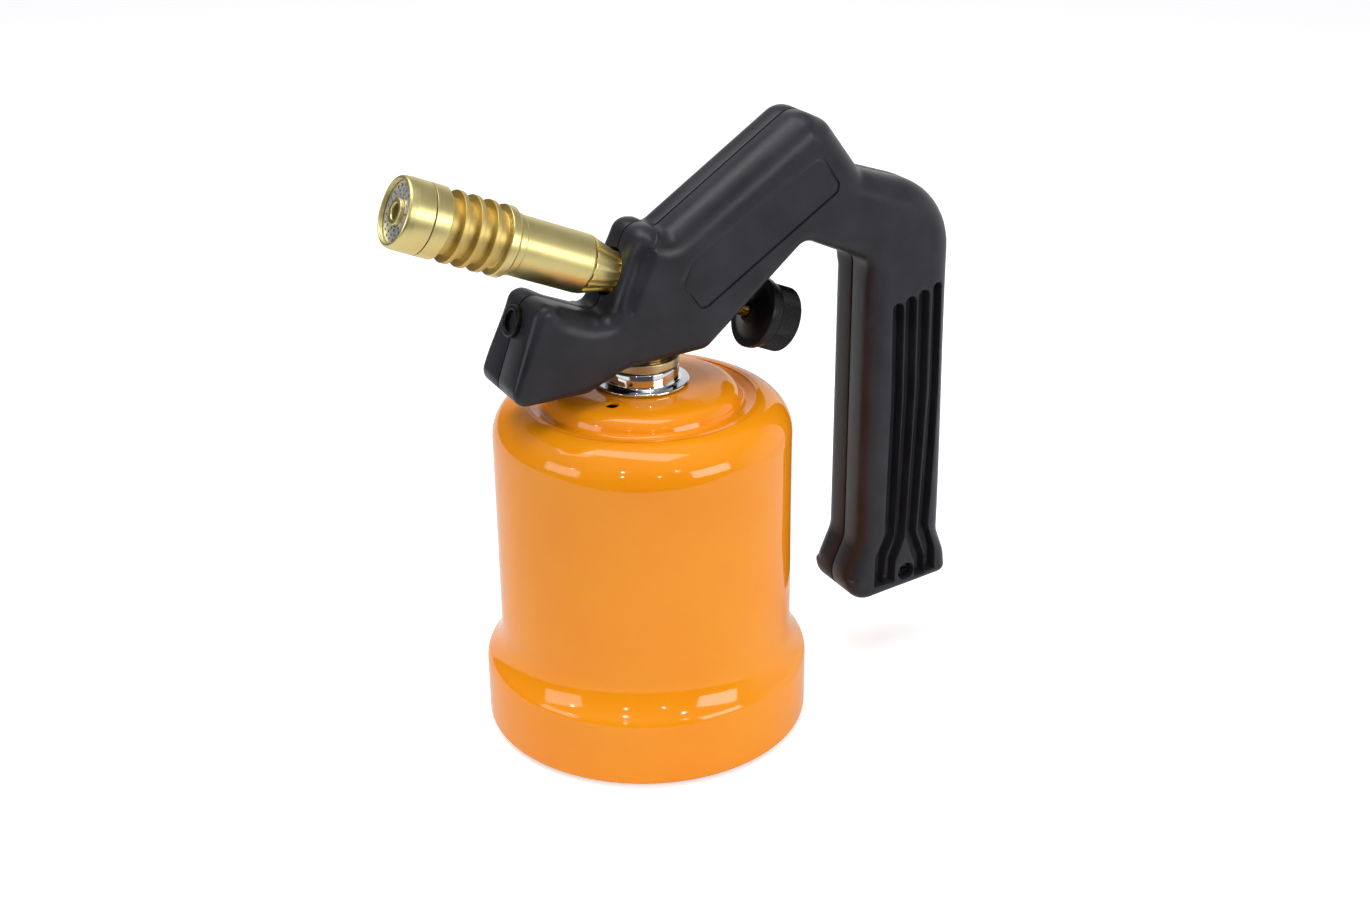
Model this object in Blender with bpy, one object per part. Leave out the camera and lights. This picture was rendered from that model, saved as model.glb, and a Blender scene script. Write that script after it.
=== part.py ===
"""Gas torch for pierceable cartridges, as an assembly of separate named pieces.

Units are metres and +Z is up. The origin is on the canister's axis, on the surface
that the torch stands on. The burner points to -X and the grip is at +X, and the
handle's parting plane is the plane Y = 0.

Run with: blender --background --python part.py
"""

import math

import bmesh
import bpy
from mathutils import Matrix, Vector

MM = 0.001

# Shared fits
SEAT_GAP = 0.3 * MM            # between faces that touch on the real torch
RUNNING_GAP = 0.4 * MM         # between pieces that turn or slide past each other
OVERRUN = 2.0 * MM             # how far a cut runs past the face it opens
MERGE = 0.001 * MM             # vertices closer than this are one vertex
ARC_STEP = math.radians(30)    # coarsest turn between two points of a fillet

# Canister casing: a deep-drawn bell, widened to a skirt at the bottom
CASING_RADIUS = 47.0 * MM
CASING_HEADROOM = 20.3 * MM    # from the cartridge's top to the casing's top
CASING_WALL = 0.8 * MM
SKIRT_STEP = 5.2 * MM          # skirt radius past the casing radius
SKIRT_TOP = 22.4 * MM
FLARE_RISE = 6.45 * MM
FLARE_UPPER_FILLET = 17.8 * MM
FLARE_LOWER_FILLET = 5.2 * MM
SKIRT_FLOOR_GAP = 0.9 * MM
SKIRT_CURL = 2.1 * MM
SKIRT_CURL_FILLET = 1.7 * MM
SHOULDER_DROP = 4.2 * MM
SHOULDER_FILLET = 11.5 * MM
CROWN_RADIUS = 27.5 * MM       # raised middle of the casing's top
CROWN_SLOPE_DROP = 0.8 * MM
CROWN_STEP_WIDTH = 5.0 * MM
CROWN_STEP_DROP = 2.5 * MM
CROWN_FILLET = 5.0 * MM
VENT_RADIUS = 1.8 * MM
VENT_FROM_AXIS = 18.6 * MM
VENT_ANGLE = math.radians(215)

# Base pan and its bayonet
PAN_WALL = 0.8 * MM
PAN_HEIGHT = 13.0 * MM
PAN_FILLET = 3.0 * MM
LUG_COUNT = 3
LUG_DEPTH = 2.4 * MM
LUG_HEIGHT = 2.0 * MM
LUG_ARC = math.radians(24)
TAB_ARC = math.radians(18)
TAB_HEIGHT = 2.0 * MM
TAB_OVERLAP = 0.9 * MM         # how far a tab reaches over a lug

# Gas cartridge
CARTRIDGE_CLEARANCE = 1.2 * MM
CARTRIDGE_WALL = 0.4 * MM
CARTRIDGE_HEIGHT = 93.4 * MM
CARTRIDGE_SHOULDER = 9.0 * MM
CARTRIDGE_SHOULDER_FILLET = 8.0 * MM
CARTRIDGE_FOOT_FILLET = 3.0 * MM
CARTRIDGE_CROWN_RADIUS = 14.0 * MM
CARTRIDGE_CROWN_RISE = 1.8 * MM
CARTRIDGE_CROWN_SLOPE = 3.0 * MM
PIERCED_HOLE_RADIUS = 2.4 * MM

# Collar, crimped in the casing's top
COLLAR_RADIUS = 11.6 * MM
COLLAR_STAND = 4.9 * MM        # height of the collar above its flange
COLLAR_FLANGE_RADIUS = 14.8 * MM
COLLAR_FLANGE_THICKNESS = 1.0 * MM
COLLAR_EDGE = 0.3 * MM
COLLAR_CRIMP_REACH = 1.9 * MM
COLLAR_CRIMP_THICKNESS = 0.9 * MM
BACKING_RING_WIDTH = 5.2 * MM
BACKING_RING_THICKNESS = 1.3 * MM
THREAD_RADIUS = 9.7 * MM       # connector's thread, drawn plain

# Inlet connector, its needle, seal and filter
LOCK_RING_RADIUS = 11.8 * MM
LOCK_RING_HEIGHT = 2.9 * MM
LOCK_RING_EDGE = 0.4 * MM
CONNECTOR_NOSE_RADIUS = 6.5 * MM
CONNECTOR_BORE = 1.5 * MM
CONNECTOR_SHANK_RISE = 6.5 * MM
CONNECTOR_SPIGOT_RADIUS = 5.5 * MM
CONNECTOR_SPIGOT_LENGTH = 7.0 * MM
CONNECTOR_THREAD_DEPTH = 9.0 * MM
SEAL_THICKNESS = 2.2 * MM
SEAL_RADIUS = 6.0 * MM
NEEDLE_RADIUS = 1.9 * MM
NEEDLE_BORE = 0.7 * MM
NEEDLE_REACH = 6.5 * MM        # below the cartridge's top
NEEDLE_TIP_RADIUS = 1.0 * MM
NEEDLE_TIP_LENGTH = 3.0 * MM
NEEDLE_SOCKET_DEPTH = 9.0 * MM
FILTER_LENGTH = 12.0 * MM
FILTER_SET_BACK = 1.4 * MM     # above the needle's socket

# Valve axis: burner, valve and knob share it, tilted up to the mouth
AXIS_TILT = math.radians(23.2)
AXIS_RISE = 23.2 * MM          # axis above the head's underside, on the canister's axis

# Valve body, with stations measured from the canister's axis towards the mouth
BODY_RADIUS = 8.0 * MM
BODY_FRONT = 4.7 * MM
BODY_REAR = 22.0 * MM
BODY_EDGE = 0.8 * MM
BOSS_TO_CHAMBER = 0.8 * MM     # wall between the upright boss and the chamber
BODY_SPIGOT_RADIUS = 5.0 * MM
BODY_SPIGOT_LENGTH = 6.3 * MM
CHAMBER_RADIUS = 2.7 * MM
SEAT_STATION = 2.6 * MM
SEAT_LENGTH = 2.0 * MM
SEAT_RADIUS = 0.8 * MM
PACKING_BORE = 5.0 * MM
PACKING_DEPTH = 8.0 * MM
JET_RADIUS = 3.0 * MM
JET_LENGTH = 7.0 * MM
JET_SOCKET_DEPTH = 4.0 * MM
JET_TIP_RADIUS = 1.6 * MM
JET_ORIFICE = 0.5 * MM

# Spindle, its seal and the packing nut
SPINDLE_RADIUS = 2.3 * MM
SPINDLE_TIP_LENGTH = 2.6 * MM
SPINDLE_TIP_RADIUS = 0.4 * MM
SPINDLE_SCREW_BORE = 1.2 * MM
NUT_CORNERS = 6
NUT_ACROSS_CORNERS = 14.0 * MM
NUT_HEIGHT = 6.0 * MM
PACKING_WASHER_THICKNESS = 0.8 * MM
RING_SECTION = 1.0 * MM
RING_STEPS = 6

# Knob
KNOB_FLANGE_RADIUS = 11.5 * MM
KNOB_FLANGE_THICKNESS = 2.3 * MM
KNOB_RADIUS = 10.6 * MM
KNOB_LENGTH = 12.0 * MM
KNOB_START = 42.6 * MM         # from the canister's axis to the flange's face
KNOB_DISH_RADIUS = 9.6 * MM
KNOB_DISH_DEPTH = 5.0 * MM
KNOB_HUB_RADIUS = 4.2 * MM
KNOB_HUB_SET_BACK = 1.2 * MM
KNOB_BORE_DEPTH = 8.0 * MM
KNOB_EDGE = 0.8 * MM
KNURL_COUNT = 30
KNURL_DEPTH = 0.45 * MM
SCREW_HEAD_RADIUS = 2.4 * MM
SCREW_HEAD_THICKNESS = 1.2 * MM
SCREW_SHANK_RADIUS = 0.9 * MM
SCREW_LENGTH = 5.0 * MM
SCREW_SLOT_WIDTH = 0.7 * MM
SCREW_SLOT_DEPTH = 0.6 * MM

# Burner, with lengths along the valve axis
INTAKE_START = 5.2 * MM
INTAKE_NECK_STEP = 0.7 * MM    # neck radius below the valve body's
INTAKE_MOUTH_RADIUS = 8.6 * MM
INTAKE_THROAT = 11.5 * MM
INTAKE_END = 20.9 * MM
INTAKE_WALL = 1.6 * MM
INTAKE_SPIGOT_LENGTH = 5.0 * MM
INTAKE_SPIGOT_WALL = 1.0 * MM
INTAKE_SLOTS = 10
INTAKE_SLOT_WIDTH = 1.2 * MM
INTAKE_SLOT_MARGIN = 1.0 * MM
TUBE_RADIUS = 9.1 * MM
TUBE_WALL = 2.1 * MM
TUBE_LENGTH = 25.4 * MM
TUBE_LIP = 0.3 * MM
TUBE_SPIGOT_RADIUS = 7.9 * MM
TUBE_SPIGOT_LENGTH = 2.8 * MM
FIN_RADIUS = 10.7 * MM
FIN_ROOT_RADIUS = 8.3 * MM
FIN_COUNT = 3
FIN_THICKNESS = 1.3 * MM
FIN_GAP = 3.78 * MM
FIN_EDGE = 0.35 * MM
REAR_BAND = 3.4 * MM
FRONT_BAND = 5.0 * MM
BODY_BORE_RADIUS = 7.3 * MM
CAP_LENGTH = 8.2 * MM
CAP_WALL = 0.9 * MM
CAP_OPENING_RADIUS = 9.1 * MM
CAP_NOSE_FILLET = 1.5 * MM
MOUTH_RECESS = 2.6 * MM
DISC_THICKNESS = 0.8 * MM
DISC_HOLE_RADIUS = 0.55 * MM
DISC_RING_RADII = (5.6 * MM, 7.5 * MM)
DISC_RING_COUNTS = (11, 15)
PILOT_RADIUS = 3.9 * MM
PILOT_WALL = 1.4 * MM
PILOT_PROUD = 1.3 * MM
PILOT_DEPTH = 4.0 * MM

# Handle halves: head, arm and grip in one outline
HANDLE_HALF_WIDTH = 13.0 * MM
HANDLE_WALL = 3.0 * MM
HANDLE_SIDE_WALL = 2.6 * MM
NOSE_LENGTH = 49.4 * MM
NOSE_DROP = 5.5 * MM
NOSE_HEEL = 23.5 * MM
HEAD_STEP = 10.5 * MM
HEAD_HEEL = 16.7 * MM
HEAD_HEEL_RISE = 1.7 * MM
BLOCK_STATION = 11.5 * MM      # front face of the block, square to the valve axis
BLOCK_ABOVE_AXIS = 15.2 * MM
BLOCK_BELOW_AXIS = 12.7 * MM
BLOCK_TOP_LENGTH = 5.6 * MM
BLOCK_REAR_RUN = 3.0 * MM
BLOCK_REAR_FALL = 2.8 * MM
NOSE_TOP_LENGTH = 24.7 * MM
ARM_RUN = 47.5 * MM            # from the arm's foot to its apex
ARM_RISE = 31.7 * MM
BROW_RUN = 8.9 * MM            # from the apex to the arm's brow
BROW_FALL = 4.4 * MM
SADDLE_RUN = 12.4 * MM         # from the brow down to the saddle
SADDLE_FALL = 16.6 * MM
HUMP_FALL = 11.3 * MM          # from the saddle to the corner that the hump rounds
FINGER_GAP = 23.9 * MM         # between skirt and grip
GRIP_DEPTH = 32.1 * MM
GRIP_LEAN = 0.2 * MM
ARCH_FROM_GRIP = 24.6 * MM
ARCH_RISE = 31.1 * MM
ARCH_FALL = 11.4 * MM
FLARE_HEIGHT = 81.0 * MM       # from the head's underside down to the flare
FLARE_LENGTH = 10.5 * MM
FLARE_OUT = 4.6 * MM
GRIP_FOOT = 11.3 * MM
GRIP_FOOT_SLOPE = 4.6 * MM
HEEL_OUT = 2.7 * MM            # of the rear flare
SMALL_FILLET = 3.2 * MM
NOSE_FILLET = 4.4 * MM
LEAST_FILLET = 0.3 * MM        # where a side edge is rounder than its corner
MIDDLE_FILLET = 5.0 * MM
CREST_FILLET = 5.4 * MM
APEX_FILLET = 7.0 * MM
BROW_FILLET = 8.0 * MM
TOE_FILLET = 8.0 * MM
ANKLE_FILLET = 8.0 * MM
FLARE_FILLET = 9.0 * MM
HUMP_FILLET = 25.5 * MM
EDGE_SMALL = 2.7 * MM          # rounding of the side edges, by place
EDGE_NOSE = 6.0 * MM
EDGE_SOLE = 4.2 * MM
EDGE_MIDDLE = 3.4 * MM
EDGE_APEX = 6.8 * MM
EDGE_FOOT = 5.5 * MM
EDGE_GRIP = 6.3 * MM
EDGE_HUMP = 9.5 * MM
EDGE_LEVELS = 4
PARTING_GAP = SEAT_GAP
CHANNEL_RADIUS = 3.2 * MM      # hollow behind the block's front rim
CHANNEL_DEPTH = 1.5 * MM
CHANNEL_EDGE = 1.8 * MM
CHANNEL_SET_BACK = 6.6 * MM
CHANNEL_UPPER = 11.5 * MM      # along the rim, from the valve axis
CHANNEL_LOWER = 9.0 * MM
PANEL_DEPTH = 0.6 * MM
PANEL_FILLET = 3.0 * MM
PANEL_START = 17.5 * MM        # lower front corner: from the canister's axis,
PANEL_RISE = 15.4 * MM         # and above the head's underside
PANEL_LENGTH = 55.2 * MM
PANEL_WIDTH = 14.3 * MM
PANEL_CUT = 5.5 * MM           # slanted upper front corner
GROOVE_COUNT = 4
GROOVE_PITCH = 5.0 * MM        # at the top, and above the splay
GROOVE_FOOT_PITCH = 4.5 * MM
GROOVE_WIDTH = 3.1 * MM
GROOVE_DEPTH = 2.0 * MM
GROOVE_TOP = 4.5 * MM          # top of the first groove above the head's underside
GROOVE_TOP_STEP = 1.5 * MM
GROOVE_CENTRE = 17.3 * MM      # middle of the grooves behind the grip's front
GROOVE_LEAN = 0.6 * MM
GROOVE_SPLAY_HEIGHT = 79.1 * MM
GROOVE_SPLAY_LENGTH = 8.8 * MM
GROOVE_SPLAY = 3.6 * MM
GROOVE_FOOT = 97.2 * MM
GROOVE_FOOT_STEP = 0.5 * MM
SCREW_HOLE_RADIUS = 3.0 * MM
SCREW_HOLE_DEPTH = 5.0 * MM
SCREW_HOLE_HEIGHT = 9.0 * MM   # above the grip's front toe
SCREW_HOLE_BACK = 17.5 * MM    # behind the grip's front
HANDLE_SCREW_SHANK = 1.6 * MM
HANDLE_SCREW_LENGTH = 15.0 * MM
HANDLE_SCREW_HEAD = 2.0 * MM
PIN_RADIUS = 1.6 * MM
PIN_LENGTH = 3.0 * MM
PIN_FROM_BLOCK = 13.0 * MM
PIN_BELOW_BLOCK = 8.6 * MM
NOSE_RING_RADIUS = 5.0 * MM
NOSE_RING_WALL = 1.7 * MM
NOSE_RING_LENGTH = 4.2 * MM
NOSE_RING_DEPTH = 2.5 * MM
NOSE_RING_SHARE = 0.72         # how far up the nose's front face the ring sits

# Derived levels and radii
CARTRIDGE_RADIUS = CASING_RADIUS - CASING_WALL - CARTRIDGE_CLEARANCE
CARTRIDGE_BOTTOM = PAN_WALL + SEAT_GAP
CARTRIDGE_TOP = CARTRIDGE_BOTTOM + CARTRIDGE_HEIGHT
CASING_HEIGHT = CARTRIDGE_TOP + CASING_HEADROOM
SKIRT_RADIUS = CASING_RADIUS + SKIRT_STEP
COLLAR_HOLE_RADIUS = COLLAR_RADIUS + SEAT_GAP
FLANGE_BOTTOM = CASING_HEIGHT + SEAT_GAP
FLANGE_TOP = FLANGE_BOTTOM + COLLAR_FLANGE_THICKNESS
COLLAR_TOP = FLANGE_TOP + COLLAR_STAND
BACKING_TOP = CASING_HEIGHT - CASING_WALL - SEAT_GAP
BACKING_BOTTOM = BACKING_TOP - BACKING_RING_THICKNESS
COLLAR_BOTTOM = BACKING_BOTTOM - SEAT_GAP - COLLAR_CRIMP_THICKNESS
LOCK_RING_BOTTOM = COLLAR_TOP + SEAT_GAP
LOCK_RING_TOP = LOCK_RING_BOTTOM + LOCK_RING_HEIGHT
HEAD_BASE = LOCK_RING_TOP + SEAT_GAP
AXIS_HEIGHT = HEAD_BASE + AXIS_RISE
PAN_RADIUS = SKIRT_RADIUS - CASING_WALL - SEAT_GAP - LUG_DEPTH - RUNNING_GAP
SEAL_BOTTOM = CARTRIDGE_TOP + SEAT_GAP
CONNECTOR_BOTTOM = SEAL_BOTTOM + SEAL_THICKNESS + SEAT_GAP
CONNECTOR_SHOULDER = HEAD_BASE + CONNECTOR_SHANK_RISE
CONNECTOR_TOP = CONNECTOR_SHOULDER + CONNECTOR_SPIGOT_LENGTH
BODY_SPIGOT_END = BODY_FRONT + BODY_SPIGOT_LENGTH
BOSS_RADIUS = BODY_RADIUS - SEAT_GAP
NUT_END = BODY_REAR + SEAT_GAP + NUT_HEIGHT
INTAKE_NECK_RADIUS = BODY_RADIUS - INTAKE_NECK_STEP
TUBE_END = INTAKE_END + TUBE_LENGTH
FINNED_START = TUBE_END + SEAT_GAP
FINNED_LENGTH = REAR_BAND + FIN_COUNT * FIN_THICKNESS + (FIN_COUNT + 1) * FIN_GAP + FRONT_BAND
FINNED_END = FINNED_START + FINNED_LENGTH
CAP_START = FINNED_END + SEAT_GAP
MOUTH_STATION = CAP_START + CAP_LENGTH
DISC_FRONT = MOUTH_STATION - MOUTH_RECESS - SEAT_GAP
DISC_BACK = DISC_FRONT - DISC_THICKNESS
GRIP_FRONT = SKIRT_RADIUS + FINGER_GAP


def to_linear(hex_colour):
    """Turn an sRGB hex colour into the linear colour that shaders use."""
    channels = [int(hex_colour[i:i + 2], 16) / 255 for i in (0, 2, 4)]
    linear = [c / 12.92 if c <= 0.04045 else ((c + 0.055) / 1.055) ** 2.4 for c in channels]
    return (*linear, 1.0)


def finish(obj, hex_colour, roughness, metallic):
    """Give an object its own material."""
    material = bpy.data.materials.new(obj.name + "_finish")
    material.use_nodes = True
    shader = material.node_tree.nodes["Principled BSDF"]
    shader.inputs["Base Color"].default_value = to_linear(hex_colour)
    shader.inputs["Roughness"].default_value = roughness
    shader.inputs["Metallic"].default_value = metallic
    obj.data.materials.append(material)
    return obj


def empty(name, matrix):
    """Add an empty that marks a joint's axis."""
    marker = bpy.data.objects.new(name, None)
    bpy.context.collection.objects.link(marker)
    marker.matrix_world = matrix
    return marker


def add_object(name, bm, parent=None):
    """Turn a bmesh into a named object, smooth where the surface is smooth."""
    bmesh.ops.remove_doubles(bm, verts=bm.verts, dist=MERGE)
    bmesh.ops.recalc_face_normals(bm, faces=bm.faces)
    closed = all(edge.is_manifold for edge in bm.edges)
    if closed and bm.calc_volume(signed=True) < 0:
        bmesh.ops.reverse_faces(bm, faces=bm.faces)
    mesh = bpy.data.meshes.new(name)
    bm.to_mesh(mesh)
    bm.free()
    mesh.shade_smooth()
    mesh.set_sharp_from_angle(angle=math.radians(35))
    obj = bpy.data.objects.new(name, mesh)
    bpy.context.collection.objects.link(obj)
    obj.parent = parent
    return obj


def as_tool(obj):
    """Mark an object as a cutter or an added shape, which is no piece itself."""
    obj.hide_render = True
    obj.display_type = 'WIRE'
    return obj


def combine(obj, tool, operation):
    """Cut or join an object with a tool shape, by an exact Boolean."""
    modifier = obj.modifiers.new(tool.name, 'BOOLEAN')
    modifier.object = as_tool(tool)
    modifier.operation = operation
    modifier.solver = 'EXACT'
    return obj


def cut(obj, tool):
    return combine(obj, tool, 'DIFFERENCE')


def join(obj, tool):
    return combine(obj, tool, 'UNION')


def turn_at(before, corner, after):
    """The angle that a path turns by at a corner, positive to the left."""
    into = corner - before
    out = after - corner
    return math.atan2(into.x * out.y - into.y * out.x, into.dot(out))


def fillet(before, corner, after, radius, steps=0):
    """Points of an arc that rounds a corner, with the normal at each point."""
    into = (corner - before).normalized()
    turn = turn_at(before, corner, after)
    side = math.copysign(1, turn)
    start_normal = Vector((into.y, -into.x))
    reach = radius * math.tan(abs(turn) / 2)
    start = corner - into * reach
    centre = start - start_normal * radius * side
    steps = steps or max(1, math.ceil(abs(turn) / ARC_STEP))
    points = []
    for i in range(steps + 1):
        normal = Matrix.Rotation(turn * i / steps, 2) @ start_normal
        points.append((centre + normal * radius * side, normal))
    return points


def rounded_path(corners):
    """An open path through corners (across, up, radius), rounded at its inner corners."""
    spots = [Vector(corner[:2]) for corner in corners]
    path = [spots[0]]
    for i in range(1, len(spots) - 1):
        if corners[i][2] == 0:
            path.append(spots[i])
            continue
        arc = fillet(spots[i - 1], spots[i], spots[i + 1], corners[i][2])
        path.extend(point for point, normal in arc)
    path.append(spots[-1])
    return path


def spin(name, points, segments, closed=True, parent=None):
    """Turn a profile of (radius, height) points round the local Z axis."""
    bm = bmesh.new()
    verts = [bm.verts.new((point[0], 0, point[1])) for point in points]
    pairs = list(zip(verts, verts[1:]))
    if closed:
        pairs.append((verts[-1], verts[0]))
    edges = [bm.edges.new(pair) for pair in pairs if pair[0].co.x > 0 or pair[1].co.x > 0]
    bmesh.ops.spin(bm, geom=verts + edges, cent=(0, 0, 0), axis=(0, 0, 1),
                   angle=math.tau, steps=segments, use_duplicate=False)
    return add_object(name, bm, parent)


def pressed(name, corners, wall, segments):
    """A sheet metal piece: an open profile turned round Z, thickened inwards."""
    obj = spin(name, rounded_path(corners), segments, closed=False)
    sheet = obj.modifiers.new("sheet", 'SOLIDIFY')
    sheet.thickness = wall
    sheet.offset = -1
    sheet.use_even_offset = True
    return obj


def sector(name, inner, outer, bottom, top, middle, arc, steps=4):
    """A block between two radii and two heights, over an arc round Z."""
    bm = bmesh.new()
    turn = Matrix.Rotation(middle - arc / 2, 3, 'Z')
    corners = [(inner, bottom), (outer, bottom), (outer, top), (inner, top)]
    verts = [bm.verts.new(turn @ Vector((radius, 0, height))) for radius, height in corners]
    face = bm.faces.new(verts)
    bmesh.ops.spin(bm, geom=[face], cent=(0, 0, 0), axis=(0, 0, 1),
                   angle=arc, steps=steps, use_duplicate=False)
    return add_object(name, bm)


def round_bar(name, radius, bottom, top, segments=24, parent=None):
    """A plain cylinder along local Z."""
    profile = [(0, bottom), (radius, bottom), (radius, top), (0, top)]
    return spin(name, profile, segments, parent=parent)


def ring(name, inner, outer, bottom, top, segments=24, parent=None):
    """A plain ring round local Z."""
    profile = [(inner, bottom), (outer, bottom), (outer, top), (inner, top)]
    return spin(name, profile, segments, parent=parent)


def plate(name, outline, start, end):
    """An outline of (x, z) points, extruded along Y."""
    bm = bmesh.new()
    face = bm.faces.new([bm.verts.new((x, start, z)) for x, z in outline])
    made = bmesh.ops.extrude_face_region(bm, geom=[face])
    moved = [item for item in made["geom"] if isinstance(item, bmesh.types.BMVert)]
    bmesh.ops.translate(bm, verts=moved, vec=(0, end - start, 0))
    return add_object(name, bm)


def prism(name, corners, across, bottom, top, parent=None):
    """A regular prism along local Z, such as a hexagon nut's body."""
    bm = bmesh.new()
    bmesh.ops.create_cone(bm, cap_ends=True, segments=corners, radius1=across / 2,
                          radius2=across / 2, depth=top - bottom)
    bmesh.ops.translate(bm, verts=bm.verts, vec=(0, 0, (top + bottom) / 2))
    return add_object(name, bm, parent)


def block(name, size, centre, turn=0.0, parent=None):
    """A box with a size and a centre, turned round local Z."""
    bm = bmesh.new()
    bmesh.ops.create_cube(bm, size=1)
    bmesh.ops.scale(bm, vec=size, verts=bm.verts)
    bmesh.ops.translate(bm, vec=centre, verts=bm.verts)
    bmesh.ops.rotate(bm, cent=(0, 0, 0), matrix=Matrix.Rotation(turn, 3, 'Z'), verts=bm.verts)
    return add_object(name, bm, parent)


def joined_mesh(name, objects):
    """Put several separate cutters in one object, so that they cut in one step."""
    bm = bmesh.new()
    for obj in objects:
        bm.from_mesh(obj.data)
        bpy.data.objects.remove(obj)
    return add_object(name, bm)


# Canister

def casing_profile():
    wall = CASING_RADIUS
    top = CASING_HEIGHT
    crown = top - CROWN_SLOPE_DROP
    ledge = crown - CROWN_STEP_DROP
    return [
        (COLLAR_HOLE_RADIUS, top, 0),
        (CROWN_RADIUS, crown, CROWN_FILLET),
        (CROWN_RADIUS + CROWN_STEP_WIDTH, ledge, CROWN_FILLET),
        (wall, top - SHOULDER_DROP, SHOULDER_FILLET),
        (wall, SKIRT_TOP + FLARE_RISE, FLARE_UPPER_FILLET),
        (SKIRT_RADIUS, SKIRT_TOP, FLARE_LOWER_FILLET),
        (SKIRT_RADIUS, SKIRT_FLOOR_GAP, SKIRT_CURL_FILLET),
        (SKIRT_RADIUS - SKIRT_CURL, SKIRT_FLOOR_GAP, 0),
    ]


def make_casing():
    casing = pressed("casing", casing_profile(), CASING_WALL, 36)
    vent = round_bar("vent_cutter", VENT_RADIUS, CASING_HEIGHT - SHOULDER_FILLET,
                     CASING_HEIGHT + OVERRUN, 12)
    vent.location = (VENT_FROM_AXIS * math.cos(VENT_ANGLE), VENT_FROM_AXIS * math.sin(VENT_ANGLE), 0)
    return finish(cut(casing, vent), "EC8A1E", 0.12, 0.0)


def make_collar():
    profile = [
        (THREAD_RADIUS + SEAT_GAP, COLLAR_TOP),
        (COLLAR_RADIUS - COLLAR_EDGE, COLLAR_TOP),
        (COLLAR_RADIUS, COLLAR_TOP - COLLAR_EDGE),
        (COLLAR_RADIUS, FLANGE_TOP),
        (COLLAR_FLANGE_RADIUS - COLLAR_EDGE, FLANGE_TOP),
        (COLLAR_FLANGE_RADIUS, FLANGE_TOP - COLLAR_EDGE),
        (COLLAR_FLANGE_RADIUS, FLANGE_BOTTOM),
        (COLLAR_RADIUS, FLANGE_BOTTOM),
        (COLLAR_RADIUS, BACKING_BOTTOM - SEAT_GAP),
        (COLLAR_RADIUS + COLLAR_CRIMP_REACH, BACKING_BOTTOM - SEAT_GAP),
        (COLLAR_RADIUS + COLLAR_CRIMP_REACH, COLLAR_BOTTOM),
        (THREAD_RADIUS + SEAT_GAP, COLLAR_BOTTOM),
    ]
    return finish(spin("collar", profile, 24), "D8DADC", 0.08, 1.0)


def make_backing_ring():
    backing = ring("collar_backing_ring", COLLAR_HOLE_RADIUS, COLLAR_HOLE_RADIUS + BACKING_RING_WIDTH,
                   BACKING_BOTTOM, BACKING_TOP, 24)
    return finish(backing, "A9ABAD", 0.35, 1.0)


def lug_angles():
    return [math.tau * i / LUG_COUNT for i in range(LUG_COUNT)]


def tab_bottom():
    return PAN_HEIGHT - TAB_HEIGHT


def make_bayonet_lugs():
    outer = SKIRT_RADIUS - CASING_WALL - SEAT_GAP
    top = tab_bottom() - SEAT_GAP
    for i, angle in enumerate(lug_angles()):
        lug = sector(f"bayonet_lug_{i + 1}", outer - LUG_DEPTH, outer, top - LUG_HEIGHT, top,
                     angle, LUG_ARC)
        finish(lug, "B9BABC", 0.4, 1.0)


def make_base_pan():
    corners = [(0, 0, 0), (PAN_RADIUS, 0, PAN_FILLET), (PAN_RADIUS, PAN_HEIGHT, 0)]
    pan = pressed("base_pan", corners[::-1], PAN_WALL, 36)
    for angle in lug_angles():
        tab = sector("pan_tab", PAN_RADIUS - PAN_WALL / 2, PAN_RADIUS + RUNNING_GAP + TAB_OVERLAP,
                     tab_bottom(), PAN_HEIGHT - PAN_WALL / 2, angle, TAB_ARC)
        join(pan, tab)
    return finish(pan, "C9741C", 0.3, 0.0)


def make_cartridge():
    crown = CARTRIDGE_TOP - CARTRIDGE_CROWN_RISE
    corners = [
        (PIERCED_HOLE_RADIUS, CARTRIDGE_TOP, 0),
        (CARTRIDGE_CROWN_RADIUS, CARTRIDGE_TOP, 0),
        (CARTRIDGE_CROWN_RADIUS + CARTRIDGE_CROWN_SLOPE, crown, 0),
        (CARTRIDGE_RADIUS, CARTRIDGE_TOP - CARTRIDGE_SHOULDER, CARTRIDGE_SHOULDER_FILLET),
        (CARTRIDGE_RADIUS, CARTRIDGE_BOTTOM, CARTRIDGE_FOOT_FILLET),
        (0, CARTRIDGE_BOTTOM, 0),
    ]
    return finish(pressed("gas_cartridge", corners, CARTRIDGE_WALL, 24), "3F6FB0", 0.3, 0.0)


# Head: gas inlet

def make_lock_ring():
    inner = THREAD_RADIUS + SEAT_GAP
    profile = [
        (inner, LOCK_RING_BOTTOM),
        (LOCK_RING_RADIUS - LOCK_RING_EDGE, LOCK_RING_BOTTOM),
        (LOCK_RING_RADIUS, LOCK_RING_BOTTOM + LOCK_RING_EDGE),
        (LOCK_RING_RADIUS, LOCK_RING_TOP - LOCK_RING_EDGE),
        (LOCK_RING_RADIUS - LOCK_RING_EDGE, LOCK_RING_TOP),
        (inner, LOCK_RING_TOP),
    ]
    return finish(spin("lock_ring", profile, 24), "B59B52", 0.3, 1.0)


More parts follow.
